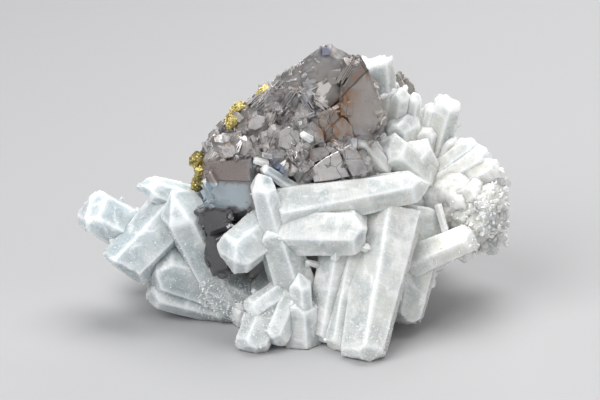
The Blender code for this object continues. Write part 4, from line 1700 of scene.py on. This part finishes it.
@dataclass
class Dusting:
    """Small quartz crystals that dust the large ones, joined in one piece.

    behind is the count and the size of the crystals at the back. The places drawn on each host
    keep to the object's box: off the ground, inside half_width and not beyond farthest_back.
    """

    name: str
    finish: bpy.types.Material
    patches: list[tuple]
    smallest: float
    behind: tuple[int, float]
    seed: int
    drawn: int = 26000
    lowest: float = 0.0006
    half_width: float = 0.0432
    farthest_back: float = 0.0262

    def build(self, hosts: list[bpy.types.Object]) -> None:
        """Dust the hosts: thick in the patches of the display side, thin at the back.

        Args:
            hosts: the quartz pieces.
        """
        spots, normals = self.candidates(hosts)
        flat, facing = on_display(spots), toward_viewer(normals)
        dice = np.random.default_rng(self.seed)
        most = np.zeros(len(spots))
        for middle, radii, count, largest in self.patches:
            fits = np.flatnonzero(inside_oval(flat, middle, radii) & (facing > 0.05))
            most[dice.choice(fits, min(count, len(fits)), replace=False)] = largest
        behind = np.flatnonzero(facing < -0.25)
        most[dice.choice(behind, self.behind[0], replace=False)] = self.behind[1]
        chosen = np.flatnonzero(most)
        axes = unit(normals[chosen] + dice.normal(0, 0.45, (len(chosen), 3)))
        spread = dice.uniform(0, 1, (len(chosen), 1)) ** 3
        length = self.smallest + (most[chosen, None] - self.smallest) * spread
        piece = scatter(self.name, little_crystal(), spots[chosen], axes, length * np.ones(3), self.seed + 1)
        dress_piece(piece, self.finish)

    def candidates(self, hosts: list[bpy.types.Object]) -> tuple[np.ndarray, np.ndarray]:
        """Draw many places on the hosts and keep those inside the object's box.

        Args:
            hosts: the quartz pieces.

        Returns:
            Places and outward normals.
        """
        drawn = [face_spots(host, self.drawn, 10 * self.seed + i) for i, host in enumerate(hosts)]
        spots, normals = (np.concatenate(parts) for parts in zip(*drawn))
        inside = spots[:, 2] > max(self.lowest, 0.6 * self.behind[1])
        inside &= (np.abs(spots[:, 0]) < self.half_width) & (spots[:, 1] < self.farthest_back)
        return spots[inside], normals[inside]


@dataclass
class Ore:
    """The sphalerite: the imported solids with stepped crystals, plates and sheaves of blades."""

    finish: bpy.types.Material
    stacks: int = 880
    back_stacks: int = 36
    sheaves: int = 230

    def build(self) -> None:
        """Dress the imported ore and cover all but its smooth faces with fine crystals."""
        mass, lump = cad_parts["sphalerite"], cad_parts["sphalerite_back"]
        for node in (mass, lump):
            dress_node(node, self.finish)
        dice = np.random.default_rng(10)
        spots, normals = self.rough_places(self.stacks, 9)
        sizes = 0.0008 + 0.0028 * dice.uniform(0, 1, len(spots)) ** 3
        sizes = self.held_down(sizes, spots, (236, 0.0013), (256, 0.0006))
        stacks = StepStacks()
        self.dress(stacks.build("sphalerite_steps", spots - normals * sizes[:, None] * 0.03,
                                normals, sizes, 12))
        spots, normals = face_spots(lump, self.back_stacks, 29)
        sizes = dice.uniform(0.0006, 0.0022, len(spots))
        self.dress(stacks.build("sphalerite_back_steps", spots, normals, sizes, 32))
        blades = Lamellae()
        spots, normals = self.rough_places(self.sheaves, 19)
        lengths = self.held_down(dice.uniform(0.0014, 0.0040, len(spots)), spots, (240, 0.0022))
        self.dress(blades.build("sphalerite_blades", spots, *blades.lying(normals, 21), lengths, 22))
        self.dress(FlatPlates().build("sphalerite_plates", np.array(PLATES, float), mass, 51))
        self.long_sheaves(mass)

    def held_down(self, sizes: np.ndarray, spots: np.ndarray, *caps: tuple[float, float]) -> np.ndarray:
        """Hold sizes down toward the peak, so that nothing stands out of its outline.

        Args:
            sizes: sizes in metres.
            spots: their places.
            caps: pairs of a height on display, in grid steps, and the largest size above it.

        Returns:
            The sizes.
        """
        up = on_display(spots)[:, 1]
        for height, largest in caps:
            sizes = np.where(up > height, np.minimum(sizes, largest), sizes)
        return sizes

    def long_sheaves(self, mass: bpy.types.Object) -> None:
        """Lay the sheaves of the table on the front of the ore, turned as they are on display.

        Each goes to the frontmost place drawn near its own, or to the nearest one.

        Args:
            mass: the main ore node.
        """
        rows = np.array(SHEAVES, float)
        spots, normals = face_spots(mass, 16000, 61)
        spots = spots[toward_viewer(normals) > 0.1]
        apart = ((on_display(spots)[None] - rows[:, None, :2]) ** 2).sum(axis=2)
        depth = np.where(apart < 20.0, spots[None, :, 1], 1.0)
        found = np.where((depth < 1.0).any(axis=1), depth.argmin(axis=1), apart.argmin(axis=1))
        turn = np.radians(rows[:, 2])[:, None]
        along = np.cos(turn) * np.array([1.0, 0.0, 0.0]) + np.sin(turn) * UPWARD
        lean = np.random.default_rng(62).uniform(-0.5, 0.5, (len(rows), 1))
        stand = unit(lean * np.cross(along, -SIGHT) - SIGHT)
        self.dress(Lamellae(6).build("sphalerite_sheaves", spots[found], along, stand, rows[:, 3] * GRID, 63))

    def rough_places(self, count: int, seed: int) -> tuple[np.ndarray, np.ndarray]:
        """Places on the rough parts of the ore, most of them on the display side.

        Args:
            count: about how many places.
            seed: seeds the dice.

        Returns:
            Places and outward normals.
        """
        spots, normals = face_spots(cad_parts["sphalerite"], count * 4, seed)
        flat, facing = on_display(spots), toward_viewer(normals)
        smooth = inside_oval(flat, (-44, 232), (10, 10)) & (facing < 0.3)
        for middle, radii in SMOOTH_FACES:
            smooth |= inside_oval(flat, middle, radii) & (facing > 0.25)
        chance = np.where(facing > 0.1, np.where(inside_oval(flat, (-24, 206), (70, 62)), 1.0, 0.35), 0.45)
        dice = np.random.default_rng(seed + 1)
        keep = np.flatnonzero(~smooth & (dice.uniform(0, 1, len(spots)) < chance))[:count]
        return spots[keep], normals[keep]

    def dress(self, piece: bpy.types.Object) -> None:
        """Give a piece the ore's finish and tie it to the body."""
        dress_piece(piece, self.finish)


@dataclass
class Brass:
    """The chalcopyrite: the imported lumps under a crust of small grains."""

    finish: bpy.types.Material
    grains: int = 620

    def build(self) -> None:
        """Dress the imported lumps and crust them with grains."""
        for number, name in enumerate(sorted(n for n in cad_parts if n.startswith("chalco"))):
            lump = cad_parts[name]
            dress_node(lump, self.finish)
            spots, normals = face_spots(lump, self.grains, 20 + number)
            dice = np.random.default_rng(30 + number)
            axes = unit(normals + dice.normal(0, 0.6, normals.shape))
            sizes = dice.uniform(0.00012, 0.00042, (self.grains, 1))
            sizes = sizes * dice.uniform(0.7, 1.3, (self.grains, 3))
            piece = scatter(name + "_grains", little_grain(), spots, axes, sizes, 40 + number)
            dress_piece(piece, self.finish)


@dataclass
class Studio:
    """The pale floor, the soft lights and the camera.

    A lamp is its name, its place, its side in metres and its power in watts. The camera's
    distance counts from a plane that lies setback behind the specimen's middle.
    """

    distance: float = 0.80
    setback: float = 0.010
    sensor: float = 36.0
    floor_grey: float = 0.42
    floor_half: float = 1.5
    aim: tuple[float, float, float] = (0.0, 0.0, 0.025)
    sky: tuple[float, float, float, float] = (0.86, 0.88, 0.92, 1.0)
    sky_strength: float = 0.16
    lamps: tuple[tuple, ...] = (
        ("key", (-0.30, -0.34, 0.46), 0.44, 3.6),
        ("fill", (0.46, -0.40, 0.24), 0.60, 1.3),
        ("top", (0.08, 0.10, 0.55), 0.40, 2.8),
        ("rim", (0.20, 0.50, 0.22), 0.40, 1.0),
    )

    def build(self) -> None:
        """Set up the studio."""
        self.floor()
        for lamp in self.lamps:
            self.light(*lamp)
        world = bpy.data.worlds.new("studio")
        world.use_nodes = True
        background = world.node_tree.nodes["Background"]
        background.inputs["Color"].default_value = self.sky
        background.inputs["Strength"].default_value = self.sky_strength
        bpy.context.scene.world = world
        bpy.context.scene.view_settings.view_transform = "Standard"
        self.camera()

    def floor(self) -> None:
        """A plain pale table the specimen rests on."""
        half, grey = self.floor_half, self.floor_grey
        verts = np.array([(-half, -half, 0.0), (half, -half, 0.0), (half, half, 0.0), (-half, half, 0.0)])
        floor = new_object("floor", verts, np.array([(0, 1, 2, 3)]), {})
        floor.data.materials.append(Sheet("table").shade((grey, grey, grey * 1.01, 1.0), 0.7))

    def light(self, name: str, spot: tuple[float, float, float], size: float, power: float) -> None:
        """Aim a soft square light at the middle of the specimen.

        Args:
            name: the light's name.
            spot: where it stands, in metres.
            size: its side, in metres.
            power: its power, in watts.
        """
        data = bpy.data.lights.new(name, "AREA")
        data.energy = power
        data.size = size
        lamp = bpy.data.objects.new(name, data)
        lamp.location = spot
        lamp.rotation_euler = (Vector(self.aim) - Vector(spot)).to_track_quat("-Z", "Y").to_euler()
        bpy.context.scene.collection.objects.link(lamp)

    def camera(self) -> None:
        """A long lens on the display side that frames the specimen as the photograph does."""
        middle = in_frame(np.array([PHOTO_MIDDLE[0], 0, 0]) + UPWARD * PHOTO_MIDDLE[1])
        data = bpy.data.cameras.new("camera")
        data.sensor_width = self.sensor
        data.lens = self.sensor * self.distance / (PHOTO_WIDTH_STEPS * GRID)
        data.clip_end = 10.0
        camera = bpy.data.objects.new("camera", data)
        camera.location = middle - SIGHT * (self.distance + self.setback)
        camera.rotation_euler = Vector(SIGHT).to_track_quat("-Z", "Y").to_euler()
        bpy.context.scene.collection.objects.link(camera)
        bpy.context.scene.camera = camera


def main() -> None:
    """Build, dress, light and report the specimen."""
    logging.basicConfig(level=logging.INFO, format="%(name)s: %(message)s")
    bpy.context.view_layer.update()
    Studio().build()
    milky = MilkyQuartz().material()
    quartz = Quartz(milky)
    skins = quartz.build()
    quartz.perched()
    sparkle = SugarySparkle().material()
    Dusting("quartz_sugar", sparkle, SUGAR_PATCHES, 0.00010, (900, 0.00042), 6).build(skins)
    points = MilkyQuartz("milky_points", inner=0.0, milk=(0.82, 0.86, 0.87),
                         cream=(0.96, 0.955, 0.93), cool=(0.70, 0.76, 0.78),
                         warm=(0.92, 0.91, 0.87), glassy=(0.62, 0.67, 0.69)).material()
    Dusting("quartz_druse", points, DRUSE_PATCHES, 0.0004, (1300, 0.0026), 8).build(skins)
    Ore(GreyOre().material()).build()
    Brass(BrassyGrain().material()).build()


if __name__ == "__main__":
    main()
